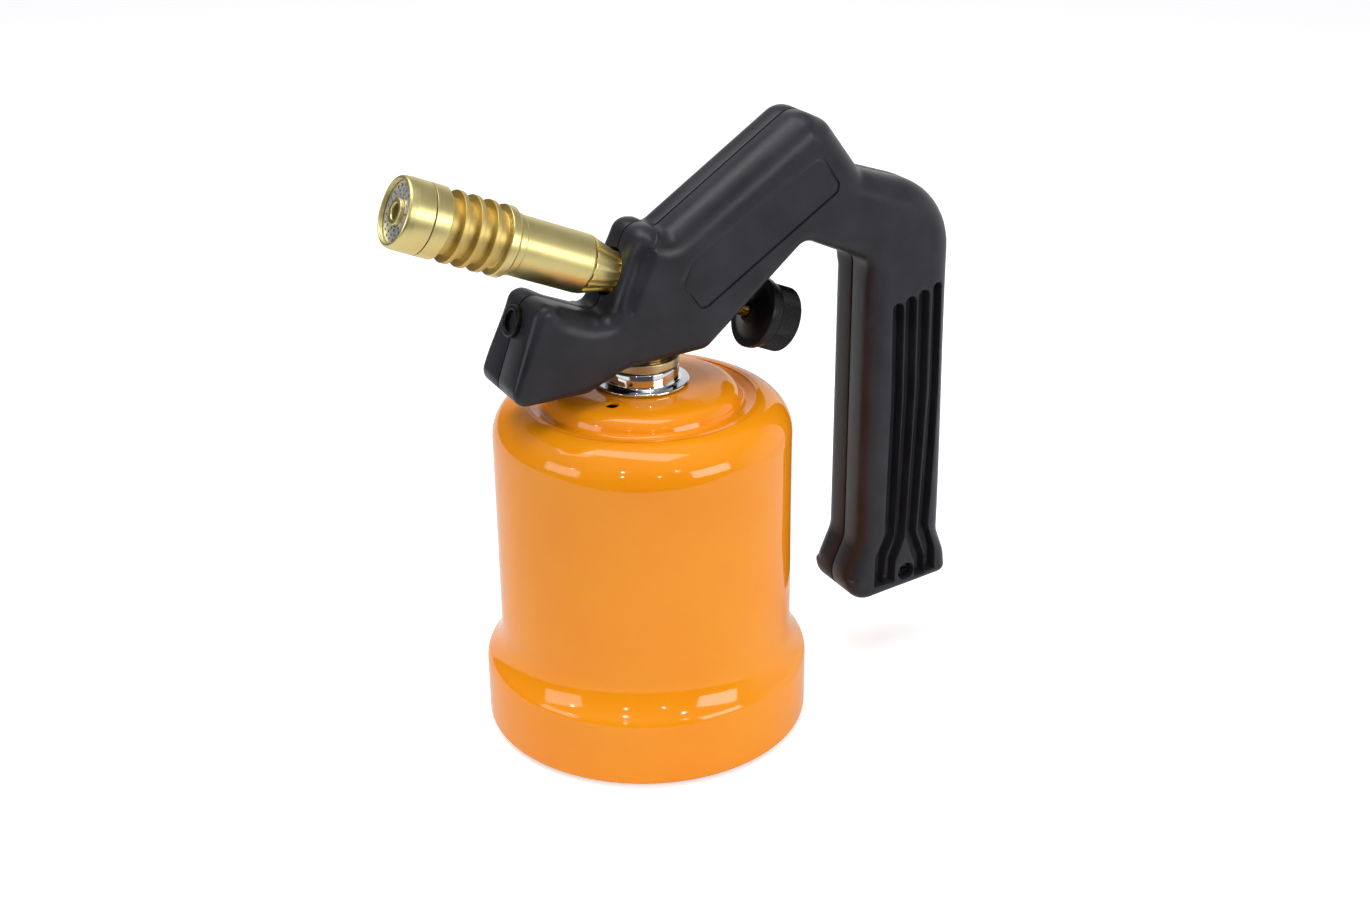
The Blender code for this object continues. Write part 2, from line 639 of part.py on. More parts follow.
def make_inlet_connector():
    thread_start = COLLAR_TOP - CONNECTOR_THREAD_DEPTH
    socket = NEEDLE_RADIUS + SEAT_GAP
    profile = [
        (CONNECTOR_BORE, CONNECTOR_TOP),
        (CONNECTOR_SPIGOT_RADIUS, CONNECTOR_TOP),
        (CONNECTOR_SPIGOT_RADIUS, CONNECTOR_SHOULDER),
        (THREAD_RADIUS, CONNECTOR_SHOULDER),
        (THREAD_RADIUS, thread_start),
        (CONNECTOR_NOSE_RADIUS, thread_start),
        (CONNECTOR_NOSE_RADIUS, CONNECTOR_BOTTOM),
        (socket, CONNECTOR_BOTTOM),
        (socket, CONNECTOR_BOTTOM + NEEDLE_SOCKET_DEPTH),
        (CONNECTOR_BORE, CONNECTOR_BOTTOM + NEEDLE_SOCKET_DEPTH),
    ]
    return finish(spin("inlet_connector", profile, 18), "C4A85C", 0.3, 1.0)


def make_needle():
    top = CONNECTOR_BOTTOM + NEEDLE_SOCKET_DEPTH - SEAT_GAP
    tip = CARTRIDGE_TOP - NEEDLE_REACH
    profile = [
        (NEEDLE_BORE, top),
        (NEEDLE_RADIUS, top),
        (NEEDLE_RADIUS, tip + NEEDLE_TIP_LENGTH),
        (NEEDLE_TIP_RADIUS, tip),
        (NEEDLE_BORE, tip),
    ]
    return finish(spin("piercing_needle", profile, 12), "C9CBCE", 0.25, 1.0)


def make_seal():
    seal = ring("cartridge_seal", NEEDLE_RADIUS + SEAT_GAP, SEAL_RADIUS,
                SEAL_BOTTOM, SEAL_BOTTOM + SEAL_THICKNESS, 20)
    return finish(seal, "1C1C1C", 0.8, 0.0)


def make_filter():
    bottom = CONNECTOR_BOTTOM + NEEDLE_SOCKET_DEPTH + FILTER_SET_BACK
    plug = round_bar("gas_filter", CONNECTOR_BORE - SEAT_GAP, bottom, bottom + FILTER_LENGTH, 10)
    return finish(plug, "8C6A3C", 0.8, 1.0)


# Head: valve, all on the valve axis

def boss_top():
    """Level of the upright boss's top, where its rear edge stays clear of the chamber."""
    cover = (CHAMBER_RADIUS + BOSS_TO_CHAMBER) / math.cos(AXIS_TILT)
    return AXIS_HEIGHT - cover - BOSS_RADIUS * math.tan(AXIS_TILT)


def make_valve_body(axis):
    rear = -BODY_REAR
    seat_end = SEAT_STATION + SEAT_LENGTH
    socket_floor = BODY_SPIGOT_END - JET_SOCKET_DEPTH
    profile = [
        (CHAMBER_RADIUS, rear + PACKING_DEPTH),
        (PACKING_BORE, rear + PACKING_DEPTH),
        (PACKING_BORE, rear),
        (BODY_RADIUS - BODY_EDGE, rear),
        (BODY_RADIUS, rear + BODY_EDGE),
        (BODY_RADIUS, BODY_FRONT - BODY_EDGE),
        (BODY_RADIUS - BODY_EDGE, BODY_FRONT),
        (BODY_SPIGOT_RADIUS, BODY_FRONT),
        (BODY_SPIGOT_RADIUS, BODY_SPIGOT_END),
        (JET_RADIUS + SEAT_GAP, BODY_SPIGOT_END),
        (JET_RADIUS + SEAT_GAP, socket_floor),
        (SEAT_RADIUS, socket_floor),
        (SEAT_RADIUS, seat_end),
        (CHAMBER_RADIUS, SEAT_STATION),
    ]
    body = spin("valve_body", profile, 18, parent=axis)
    boss_bottom = CONNECTOR_SHOULDER + SEAT_GAP
    boss = round_bar("valve_boss", BOSS_RADIUS, boss_bottom, boss_top(), 18)
    socket = round_bar("connector_socket", CONNECTOR_SPIGOT_RADIUS + SEAT_GAP,
                       boss_bottom - OVERRUN, CONNECTOR_TOP + SEAT_GAP, 18)
    passage = round_bar("gas_passage", CONNECTOR_BORE, CONNECTOR_TOP, AXIS_HEIGHT, 12)
    join(body, boss)
    for tool in (socket, passage):
        cut(body, tool)
    return finish(body, "C4A85C", 0.35, 1.0)


def make_jet(axis):
    start = BODY_SPIGOT_END - JET_SOCKET_DEPTH + SEAT_GAP
    end = start + JET_LENGTH
    profile = [
        (SEAT_RADIUS, start),
        (JET_RADIUS, start),
        (JET_RADIUS, end - JET_TIP_RADIUS),
        (JET_TIP_RADIUS, end),
        (JET_ORIFICE, end),
    ]
    return finish(spin("gas_jet", profile, 12, parent=axis), "D0B468", 0.3, 1.0)


def make_spindle(axis):
    tip = SEAT_STATION - SEAT_GAP
    end = -spindle_end()
    profile = [
        (0, tip),
        (SPINDLE_TIP_RADIUS, tip),
        (SPINDLE_RADIUS, tip - SPINDLE_TIP_LENGTH),
        (SPINDLE_RADIUS, end),
        (SPINDLE_SCREW_BORE, end),
        (SPINDLE_SCREW_BORE, end + SCREW_LENGTH),
        (0, end + SCREW_LENGTH),
    ]
    return finish(spin("valve_spindle", profile, 16, parent=axis), "D2B25A", 0.25, 1.0)


def spindle_end():
    """How far behind the canister's axis the spindle ends, inside the knob's bore."""
    return KNOB_START + KNOB_HUB_SET_BACK + KNOB_BORE_DEPTH - SEAT_GAP


def packing_floor():
    return -BODY_REAR + PACKING_DEPTH


def make_o_ring(axis):
    middle = packing_floor() - SEAT_GAP - RING_SECTION
    centre = SPINDLE_RADIUS + RUNNING_GAP + RING_SECTION
    turns = [math.tau * i / RING_STEPS for i in range(RING_STEPS)]
    profile = [(centre + RING_SECTION * math.cos(turn), middle + RING_SECTION * math.sin(turn))
               for turn in turns]
    return finish(spin("spindle_o_ring", profile, 20, parent=axis), "161616", 0.7, 0.0)


def washer_back():
    """Station of the packing washer's rear face, behind the O-ring's travel."""
    travel = 2 * RING_SECTION
    return packing_floor() - 2 * SEAT_GAP - 2 * RING_SECTION - travel - PACKING_WASHER_THICKNESS


def make_packing_washer(axis):
    washer = ring("packing_washer", SPINDLE_RADIUS + RUNNING_GAP, PACKING_BORE - SEAT_GAP,
                  washer_back(), washer_back() + PACKING_WASHER_THICKNESS, 20, axis)
    return finish(washer, "C9CBCE", 0.35, 1.0)


def make_packing_nut(axis):
    rear = -BODY_REAR - SEAT_GAP
    bore = SPINDLE_RADIUS + RUNNING_GAP
    nut = prism("packing_nut", NUT_CORNERS, NUT_ACROSS_CORNERS, rear - NUT_HEIGHT, rear, axis)
    shank = round_bar("nut_shank", PACKING_BORE - SEAT_GAP, rear - NUT_HEIGHT / 2,
                      washer_back() - SEAT_GAP, 20, axis)
    hole = round_bar("nut_bore", bore, rear - NUT_HEIGHT - OVERRUN, washer_back() + OVERRUN, 16, axis)
    return finish(cut(join(nut, shank), hole), "B99C50", 0.35, 1.0)


# Knob

def knurled_ring(name, radius, depth, count, bottom, top, axis):
    """A ring of fine ridges along local Z: a star-shaped prism."""
    bm = bmesh.new()
    rim = []
    for i in range(2 * count):
        reach = radius if i % 2 == 0 else radius - depth
        angle = math.tau * i / (2 * count)
        rim.append(bm.verts.new((reach * math.cos(angle), reach * math.sin(angle), bottom)))
    face = bm.faces.new(rim)
    made = bmesh.ops.extrude_face_region(bm, geom=[face])
    moved = [item for item in made["geom"] if isinstance(item, bmesh.types.BMVert)]
    bmesh.ops.translate(bm, verts=moved, vec=(0, 0, top - bottom))
    return add_object(name, bm, axis)


def make_knob(axis):
    face = -KNOB_START
    end = face - KNOB_LENGTH
    hub = face - KNOB_HUB_SET_BACK
    dish = face - KNOB_DISH_DEPTH
    core = KNOB_RADIUS - 2 * KNURL_DEPTH
    bore = SPINDLE_RADIUS + SEAT_GAP
    head_floor = end + 2 * SCREW_HEAD_THICKNESS
    shank = SCREW_SHANK_RADIUS + SEAT_GAP
    profile = [
        (KNOB_DISH_RADIUS, face),
        (KNOB_FLANGE_RADIUS - KNOB_EDGE / 2, face),
        (KNOB_FLANGE_RADIUS, face - KNOB_EDGE / 2),
        (KNOB_FLANGE_RADIUS, face - KNOB_FLANGE_THICKNESS),
        (core, face - KNOB_FLANGE_THICKNESS),
        (core, end),
        (SCREW_HEAD_RADIUS + SEAT_GAP, end),
        (SCREW_HEAD_RADIUS + SEAT_GAP, head_floor),
        (shank, head_floor),
        (shank, hub - KNOB_BORE_DEPTH),
        (bore, hub - KNOB_BORE_DEPTH),
        (bore, hub),
        (KNOB_HUB_RADIUS, hub),
        (KNOB_HUB_RADIUS, dish),
        (KNOB_DISH_RADIUS - KNOB_EDGE, dish),
    ]
    knob = spin("control_knob", profile, 24, parent=axis)
    grip = knurled_ring("knob_knurl", KNOB_RADIUS, KNURL_DEPTH, KNURL_COUNT,
                        end + KNOB_EDGE, face - KNOB_FLANGE_THICKNESS - KNOB_EDGE, axis)
    hollow = round_bar("knurl_hollow", core - KNURL_DEPTH, end - OVERRUN, face + OVERRUN, 24, axis)
    cut(grip, hollow)
    return finish(join(knob, grip), "1B1B1D", 0.5, 0.0)


def make_knob_screw(axis):
    seat = -KNOB_START - KNOB_LENGTH + 2 * SCREW_HEAD_THICKNESS - SEAT_GAP
    top = seat - SCREW_HEAD_THICKNESS
    end = -spindle_end() + SCREW_LENGTH - SEAT_GAP
    profile = [
        (0, top),
        (SCREW_HEAD_RADIUS, top),
        (SCREW_HEAD_RADIUS, seat),
        (SCREW_SHANK_RADIUS, seat),
        (SCREW_SHANK_RADIUS, end),
        (0, end),
    ]
    screw = spin("knob_screw", profile, 16, parent=axis)
    slot = block("knob_screw_slot", (2 * SCREW_HEAD_RADIUS + OVERRUN, SCREW_SLOT_WIDTH, 2 * SCREW_SLOT_DEPTH),
                 (0, 0, top), parent=axis)
    return finish(cut(screw, slot), "B8BABD", 0.3, 1.0)


# Burner

def make_air_intake(axis):
    socket = BODY_SPIGOT_RADIUS + SEAT_GAP
    spigot = TUBE_RADIUS - TUBE_WALL - SEAT_GAP
    spigot_end = INTAKE_END + INTAKE_SPIGOT_LENGTH
    bore = spigot - INTAKE_SPIGOT_WALL
    profile = [
        (socket, INTAKE_START),
        (INTAKE_NECK_RADIUS, INTAKE_START),
        (INTAKE_NECK_RADIUS, INTAKE_THROAT),
        (INTAKE_MOUTH_RADIUS, INTAKE_END - SEAT_GAP),
        (spigot, INTAKE_END - SEAT_GAP),
        (spigot, spigot_end),
        (bore, spigot_end),
        (bore, INTAKE_THROAT + INTAKE_WALL),
        (socket, INTAKE_THROAT),
    ]
    intake = spin("air_intake", profile, 20, parent=axis)
    start = INTAKE_THROAT + INTAKE_SLOT_MARGIN
    end = INTAKE_END - INTAKE_SLOT_MARGIN - SEAT_GAP
    for i in range(INTAKE_SLOTS):
        size = (INTAKE_MOUTH_RADIUS, INTAKE_SLOT_WIDTH, end - start)
        slot = block("intake_slot", size, (INTAKE_MOUTH_RADIUS, 0, (start + end) / 2),
                     math.tau * (i + 0.5) / INTAKE_SLOTS, axis)
        cut(intake, slot)
    return finish(intake, "8D7A42", 0.4, 1.0)


def make_burner_tube(axis):
    bore = TUBE_RADIUS - TUBE_WALL
    end = TUBE_END + TUBE_SPIGOT_LENGTH
    profile = [
        (bore, INTAKE_END),
        (TUBE_RADIUS - TUBE_LIP, INTAKE_END),
        (TUBE_RADIUS, INTAKE_END + TUBE_LIP),
        (TUBE_RADIUS, TUBE_END),
        (TUBE_SPIGOT_RADIUS, TUBE_END),
        (TUBE_SPIGOT_RADIUS, end),
        (bore, end),
    ]
    return finish(spin("burner_tube", profile, 24, parent=axis), "C8AF62", 0.25, 1.0)


def make_finned_body(axis):
    start = FINNED_START
    end = FINNED_END
    socket = TUBE_SPIGOT_RADIUS + SEAT_GAP
    socket_end = TUBE_END + TUBE_SPIGOT_LENGTH + SEAT_GAP
    spigot = FIN_RADIUS - CAP_WALL - SEAT_GAP
    spigot_end = DISC_BACK - SEAT_GAP
    profile = [
        (BODY_BORE_RADIUS, socket_end),
        (socket, socket_end),
        (socket, start),
        (FIN_RADIUS - FIN_EDGE, start),
        (FIN_RADIUS, start + FIN_EDGE),
    ]
    crest = start + REAR_BAND
    for i in range(FIN_COUNT + 1):
        root_end = crest + FIN_GAP
        profile += [(FIN_RADIUS, crest), (FIN_ROOT_RADIUS, crest)]
        profile += [(FIN_ROOT_RADIUS, root_end), (FIN_RADIUS, root_end)]
        crest = root_end + FIN_THICKNESS
    profile += [
        (FIN_RADIUS, end),
        (spigot, end),
        (spigot, spigot_end),
        (BODY_BORE_RADIUS, spigot_end),
    ]
    return finish(spin("finned_body", profile, 24, parent=axis), "C8AF62", 0.25, 1.0)


def make_mouth_cap(axis):
    opening = CAP_OPENING_RADIUS
    inner = FIN_RADIUS - CAP_WALL
    nose = [(FIN_RADIUS, MOUTH_STATION - CAP_NOSE_FILLET)]
    for i in range(1, 4):
        angle = math.pi / 2 * i / 3
        nose.append((FIN_RADIUS - CAP_NOSE_FILLET * (1 - math.cos(angle)),
                     MOUTH_STATION - CAP_NOSE_FILLET * (1 - math.sin(angle))))
    profile = [(opening, MOUTH_STATION - MOUTH_RECESS), (inner, MOUTH_STATION - MOUTH_RECESS),
               (inner, CAP_START), (FIN_RADIUS, CAP_START)]
    profile += nose
    profile += [(opening, MOUTH_STATION - SEAT_GAP)]
    return finish(spin("mouth_cap", profile, 24, parent=axis), "C8AF62", 0.25, 1.0)


def make_flame_disc(axis):
    disc = ring("flame_disc", PILOT_RADIUS + SEAT_GAP, FIN_RADIUS - CAP_WALL - SEAT_GAP,
                DISC_BACK, DISC_FRONT, 24, axis)
    holes = []
    for radius, count in zip(DISC_RING_RADII, DISC_RING_COUNTS):
        for i in range(count):
            hole = round_bar("flame_hole", DISC_HOLE_RADIUS, DISC_BACK - OVERRUN, DISC_FRONT + OVERRUN, 5)
            angle = math.tau * i / count
            spot = Matrix.Translation((radius * math.cos(angle), radius * math.sin(angle), 0))
            hole.data.transform(spot)
            holes.append(hole)
    cutter = joined_mesh("flame_holes", holes)
    cutter.parent = axis
    return finish(cut(disc, cutter), "B9BBBE", 0.3, 1.0)


def make_pilot_tube(axis):
    tube = ring("pilot_tube", PILOT_RADIUS - PILOT_WALL, PILOT_RADIUS,
                DISC_BACK - PILOT_DEPTH, DISC_FRONT + PILOT_PROUD, 20, axis)
    return finish(tube, "C8AF62", 0.25, 1.0)


# Handle

def axis_spot(station, across):
    """A point (x, z) by its station along the valve axis and its height square to it."""
    along = Vector((-math.cos(AXIS_TILT), math.sin(AXIS_TILT)))
    upward = Vector((math.sin(AXIS_TILT), math.cos(AXIS_TILT)))
    return Vector((0, AXIS_HEIGHT)) + along * station + upward * across


def handle_corners():
    """The handle's outline: (x, z, fillet, edge rounding) from the nose's toe, anticlockwise."""
    base = HEAD_BASE
    valley = axis_spot(BLOCK_STATION, -BLOCK_BELOW_AXIS)
    brow = axis_spot(BLOCK_STATION + NOSE_TOP_LENGTH, -BLOCK_BELOW_AXIS)
    crest = axis_spot(BLOCK_STATION, BLOCK_ABOVE_AXIS)
    crest_rear = crest.x + BLOCK_TOP_LENGTH
    foot = Vector((crest_rear + BLOCK_REAR_RUN, crest.y - BLOCK_REAR_FALL))
    apex = foot + Vector((ARM_RUN, ARM_RISE))
    shoulder = apex + Vector((BROW_RUN, -BROW_FALL))
    saddle = shoulder + Vector((SADDLE_RUN, -SADDLE_FALL))
    front = GRIP_FRONT
    rear = GRIP_FRONT + GRIP_DEPTH
    flare = base - FLARE_HEIGHT
    ankle = flare - FLARE_LENGTH
    sole = ankle - GRIP_FOOT
    arch = front - ARCH_FROM_GRIP
    return [
        (-NOSE_LENGTH, base - NOSE_DROP, NOSE_FILLET, EDGE_SMALL),
        (-NOSE_HEEL, base - NOSE_DROP, MIDDLE_FILLET, EDGE_MIDDLE),
        (-HEAD_STEP, base, MIDDLE_FILLET, EDGE_MIDDLE),
        (HEAD_HEEL, base + HEAD_HEEL_RISE, MIDDLE_FILLET, EDGE_MIDDLE),
        (arch, base + ARCH_RISE, MIDDLE_FILLET, EDGE_MIDDLE),
        (front, base + ARCH_RISE - ARCH_FALL, MIDDLE_FILLET, EDGE_FOOT),
        (front, flare, FLARE_FILLET, EDGE_GRIP),
        (front - FLARE_OUT, ankle, ANKLE_FILLET, EDGE_SOLE),
        (front - FLARE_OUT, sole, TOE_FILLET, EDGE_SOLE),
        (rear + HEEL_OUT, sole + GRIP_FOOT_SLOPE, SMALL_FILLET, EDGE_MIDDLE),
        (rear + HEEL_OUT, ankle, ANKLE_FILLET, EDGE_SOLE),
        (rear, flare, FLARE_FILLET, EDGE_GRIP),
        (rear - GRIP_LEAN, saddle.y - HUMP_FALL, HUMP_FILLET, EDGE_HUMP),
        (saddle.x, saddle.y, SMALL_FILLET, EDGE_APEX),
        (shoulder.x, shoulder.y, BROW_FILLET, EDGE_APEX),
        (apex.x, apex.y, APEX_FILLET, EDGE_APEX),
        (foot.x, foot.y, SMALL_FILLET, EDGE_FOOT),
        (crest_rear, crest.y, SMALL_FILLET, EDGE_SOLE),
        (crest.x, crest.y, CREST_FILLET, EDGE_SOLE),
        (valley.x, valley.y, SMALL_FILLET, EDGE_NOSE),
        (brow.x, brow.y, NOSE_FILLET, EDGE_NOSE),
    ]


def inset_corner(index, distance):
    """A corner of the handle's outline, moved inwards by a wall's thickness."""
    corners = [Vector(corner[:2]) for corner in handle_corners()]
    corner = corners[index]
    into = (corner - corners[index - 1]).normalized()
    out = (corners[(index + 1) % len(corners)] - corner).normalized()
    inward = Vector((-into.y - out.y, into.x + out.x)).normalized()
    lean = inward.dot(Vector((-into.y, into.x)))
    return corner + inward * distance / lean


def handle_ring(angle):
    """The handle's outline at one step of its edge rounding, as (point, edge rounding).

    angle runs from zero at the parting to a right angle on the flat side.
    """
    corners = handle_corners()
    insets = [corner[3] * (1 - math.cos(angle)) for corner in corners]
    spots = [inset_corner(i, inset) for i, inset in enumerate(insets)]
    outline = []
    for i, (x, z, radius, edge) in enumerate(corners):
        following = (i + 1) % len(corners)
        turn = turn_at(*(Vector(corners[j][:2]) for j in (i - 1, i, following)))
        steps = max(1, math.ceil(abs(turn) / ARC_STEP))
        arc = max(radius - math.copysign(insets[i], turn), LEAST_FILLET)
        rounded = fillet(spots[i - 1], spots[i], spots[following], arc, steps)
        outline.extend((point, edge) for point, normal in rounded)
    return outline


def handle_shell(name, side):
    """One half of the handle, solid, with rounded side edges. side is -1 near, +1 far."""
    bm = bmesh.new()
    start = side * PARTING_GAP / 2
    rings = [[bm.verts.new((point.x, start, point.y)) for point, edge in handle_ring(0)]]
    for level in range(EDGE_LEVELS + 1):
        angle = math.pi / 2 * level / EDGE_LEVELS
        row = []
        for point, edge in handle_ring(angle):
            depth = side * (HANDLE_HALF_WIDTH - edge * (1 - math.sin(angle)))
            row.append(bm.verts.new((point.x, depth, point.y)))
        rings.append(row)
    for row, following in zip(rings, rings[1:]):
        for i in range(len(row)):
            bm.faces.new((row[i - 1], row[i], following[i], following[i - 1]))
    bm.faces.new(rings[0])
    bm.faces.new(rings[-1])
    return add_object(name, bm)


def pocket_outlines():
    """Outlines of the two hollows in each half: the nose, and arm with grip."""
    wall = HANDLE_WALL
    toe, heel, step, head_heel, arch, front = (inset_corner(i, wall) for i in range(6))
    hump, saddle, shoulder, apex, foot = (inset_corner(i, wall) for i in range(12, 17))
    valley, brow = (inset_corner(i, wall) for i in (19, 20))
    front_low = Vector((front.x, HEAD_BASE - GROOVE_SPLAY_HEIGHT))
    rear_low = Vector((hump.x, HEAD_BASE - GROOVE_SPLAY_HEIGHT))
    nose_shelf = Vector((heel.x, valley.y))
    nose = [toe, heel, nose_shelf, brow]
    arm_start = head_heel.lerp(arch, 0.5)
    arm_top = foot.lerp(apex, 0.3)
    bulge = HUMP_FILLET - wall
    hump_arc = fillet(rear_low, hump, saddle, bulge)
    arm = [arm_start, arch, front, front_low, rear_low]
    arm += [point for point, normal in hump_arc]
    arm += [saddle, shoulder, apex, arm_top]
    return nose, arm


def groove_outline(index):
    """One groove of the grip: a strip with a round top that swings out at its foot."""
    place = index - (GROOVE_COUNT - 1) / 2
    outward = math.copysign(GROOVE_SPLAY, place)
    centre = GRIP_FRONT + GROOVE_CENTRE
    half = GROOVE_WIDTH / 2
    high = centre + place * GROOVE_PITCH
    low = centre - GROOVE_LEAN + place * GROOVE_FOOT_PITCH
    top = HEAD_BASE + GROOVE_TOP + index * GROOVE_TOP_STEP - half
    splay = HEAD_BASE - GROOVE_SPLAY_HEIGHT
    foot = HEAD_BASE - GROOVE_FOOT + index * GROOVE_FOOT_STEP
    spine = [(high, top), (low, splay), (low + outward, splay - GROOVE_SPLAY_LENGTH),
             (low + outward, foot)]
    left = [(x - half, z) for x, z in spine]
    right = [(x + half, z) for x, z in reversed(spine)]
    cap = [(high + half * math.cos(a), top + half * math.sin(a))
           for a in (math.pi * i / 4 for i in range(1, 4))]
    return left + right + cap


def panel_outline():
    """The shallow recess on the arm's side, in line with the arm's top."""
    corners = handle_corners()
    along = (Vector(corners[15][:2]) - Vector(corners[16][:2])).normalized()
    square = Vector((-along.y, along.x))
    start = Vector((PANEL_START, HEAD_BASE + PANEL_RISE))
    end = start + along * PANEL_LENGTH
    spots = [start, end, end + square * PANEL_WIDTH, start + along * PANEL_CUT + square * PANEL_WIDTH,
             start + square * (PANEL_WIDTH - PANEL_CUT)]
    outline = []
    for i, spot in enumerate(spots):
        arc = fillet(spots[i - 1], spot, spots[(i + 1) % len(spots)], PANEL_FILLET)
        outline.extend(point for point, normal in arc)
    return outline


def nose_frame():
    """Frame on the nose's front face, with Z out of the face and the origin at the ring."""
    corners = handle_corners()
    toe = Vector(corners[0][:2])
    brow = Vector(corners[-1][:2])
    spot = toe.lerp(brow, NOSE_RING_SHARE)
    rise = brow - toe
    lean = math.atan2(-rise.y, rise.x)
    return Matrix.Translation((spot.x, 0, spot.y)) @ Matrix.Rotation(lean, 4, 'Y')


def screw_spot():
    sole = handle_corners()[8]
    return Vector((GRIP_FRONT + SCREW_HOLE_BACK, 0, sole[1] + SCREW_HOLE_HEIGHT))


def across_handle(name, radius, start, end, spot, segments=16):
    """A bar along Y through the handle at a spot."""
    bar = round_bar(name, radius, start, end, segments)
    bar.data.transform(Matrix.Translation(spot) @ Matrix.Rotation(-math.pi / 2, 4, 'X'))
    return bar


def pin_spot():
    crest = axis_spot(BLOCK_STATION, BLOCK_ABOVE_AXIS)
    return Vector((crest.x + PIN_FROM_BLOCK + PIN_RADIUS, 0, crest.y - PIN_BELOW_BLOCK))


def rim_channel(side):
    """Cutter for the hollow that runs up the block's side, behind its front rim."""
    bar = round_bar("rim_channel", CHANNEL_RADIUS, -CHANNEL_LOWER, CHANNEL_UPPER, 20)
    middle = axis_spot(BLOCK_STATION - CHANNEL_SET_BACK, 0)
    offset = side * (HANDLE_HALF_WIDTH + CHANNEL_RADIUS - CHANNEL_DEPTH)
    place = Matrix.Translation((middle.x, offset, middle.y))
    bar.data.transform(place @ Matrix.Rotation(AXIS_TILT, 4, 'Y'))
    edge = bar.modifiers.new("round_ends", 'BEVEL')
    edge.width = CHANNEL_EDGE
    edge.segments = 2
    return bar


def make_handle_half(name, side, axis, nose):
    shell = handle_shell(name, side)
    cut(shell, rim_channel(side))
    depth = HANDLE_HALF_WIDTH - GROOVE_DEPTH - HANDLE_SIDE_WALL
    for part, outline in zip(("nose_hollow", "arm_hollow"), pocket_outlines()):
        cut(shell, plate(part, outline, -side * OVERRUN, side * depth))
    grip_face = side * HANDLE_HALF_WIDTH
    for index in range(GROOVE_COUNT):
        groove = plate("grip_groove", groove_outline(index), grip_face - side * GROOVE_DEPTH,
                       grip_face + side * OVERRUN)
        cut(shell, groove)
    cut(shell, plate("side_panel", panel_outline(), grip_face - side * PANEL_DEPTH,
                     grip_face + side * OVERRUN))
    fit = BODY_RADIUS + SEAT_GAP
    long_bore = round_bar("valve_bore", fit, -NUT_END - SEAT_GAP, BLOCK_STATION + OVERRUN, 24, axis)
    exit_bore = round_bar("spindle_exit", SPINDLE_RADIUS + 2 * RUNNING_GAP, -KNOB_START, 0, 16, axis)
    neck_bore = round_bar("neck_bore", THREAD_RADIUS + SEAT_GAP, HEAD_BASE - OVERRUN,
                          CONNECTOR_SHOULDER + SEAT_GAP, 24)
    boss_bore = round_bar("boss_bore", BODY_RADIUS, HEAD_BASE, AXIS_HEIGHT, 24)
    groove = ring("nose_ring_groove", NOSE_RING_RADIUS - NOSE_RING_WALL - SEAT_GAP,
                  NOSE_RING_RADIUS + SEAT_GAP, -NOSE_RING_DEPTH, OVERRUN, 24, nose)
    for tool in (long_bore, exit_bore, neck_bore, boss_bore, groove):
        cut(shell, tool)
    return shell


def make_handle(axis, nose):
    near = make_handle_half("handle_near", -1, axis, nose)
    far = make_handle_half("handle_far", 1, axis, nose)
    spot = screw_spot()
    near_face = -HANDLE_HALF_WIDTH
    seat = near_face + SCREW_HOLE_DEPTH
    cut(near, across_handle("screw_recess", SCREW_HOLE_RADIUS, near_face - OVERRUN, seat, spot))
    cut(near, across_handle("screw_hole_near", HANDLE_SCREW_SHANK + SEAT_GAP, seat - OVERRUN,
                            OVERRUN, spot, 12))
    tip = seat - SEAT_GAP + HANDLE_SCREW_LENGTH
    cut(far, across_handle("screw_hole_far", HANDLE_SCREW_SHANK + SEAT_GAP, -OVERRUN,
                           tip + SEAT_GAP, spot, 12))
    pin = pin_spot()
    join(near, across_handle("locating_pin", PIN_RADIUS, -PIN_LENGTH, PIN_LENGTH, pin, 12))
    cut(far, across_handle("pin_socket", PIN_RADIUS + SEAT_GAP, -OVERRUN, PIN_LENGTH + SEAT_GAP, pin, 12))
    finish(near, "262628", 0.45, 0.0)
    finish(far, "262628", 0.45, 0.0)


def make_handle_screw():
    spot = screw_spot()
    seat = -HANDLE_HALF_WIDTH + SCREW_HOLE_DEPTH - SEAT_GAP
    head = SCREW_HOLE_RADIUS - SEAT_GAP
    top = seat - HANDLE_SCREW_HEAD
    tip = seat + HANDLE_SCREW_LENGTH
    profile = [
        (0, top),
        (head, top),
        (head, seat),
        (HANDLE_SCREW_SHANK, seat),
        (HANDLE_SCREW_SHANK, tip - HANDLE_SCREW_SHANK),
        (0, tip),
    ]
    screw = spin("handle_screw", profile, 16)
    slot = block("cross_slot", (2 * head - HANDLE_SCREW_SHANK, SCREW_SLOT_WIDTH, 2 * SCREW_SLOT_DEPTH),
                 (0, 0, top))
    slot_across = block("cross_slot", (SCREW_SLOT_WIDTH, 2 * head - HANDLE_SCREW_SHANK, 2 * SCREW_SLOT_DEPTH),
                        (0, 0, top))
    place = Matrix.Translation(spot) @ Matrix.Rotation(-math.pi / 2, 4, 'X')
    for obj in (screw, slot, slot_across):
        obj.data.transform(place)
    return finish(cut(cut(screw, slot), slot_across), "9A9CA0", 0.35, 1.0)


def make_nose_ring(nose):
    floor = -NOSE_RING_DEPTH + SEAT_GAP
    inner = NOSE_RING_RADIUS - NOSE_RING_WALL
    edge = COLLAR_EDGE
    profile = [
        (inner, floor),
        (NOSE_RING_RADIUS, floor),
        (NOSE_RING_RADIUS, floor + NOSE_RING_LENGTH - edge),
        (NOSE_RING_RADIUS - edge, floor + NOSE_RING_LENGTH),
        (inner, floor + NOSE_RING_LENGTH),
    ]
    return finish(spin("nose_ring", profile, 24, parent=nose), "1E1E20", 0.4, 0.0)


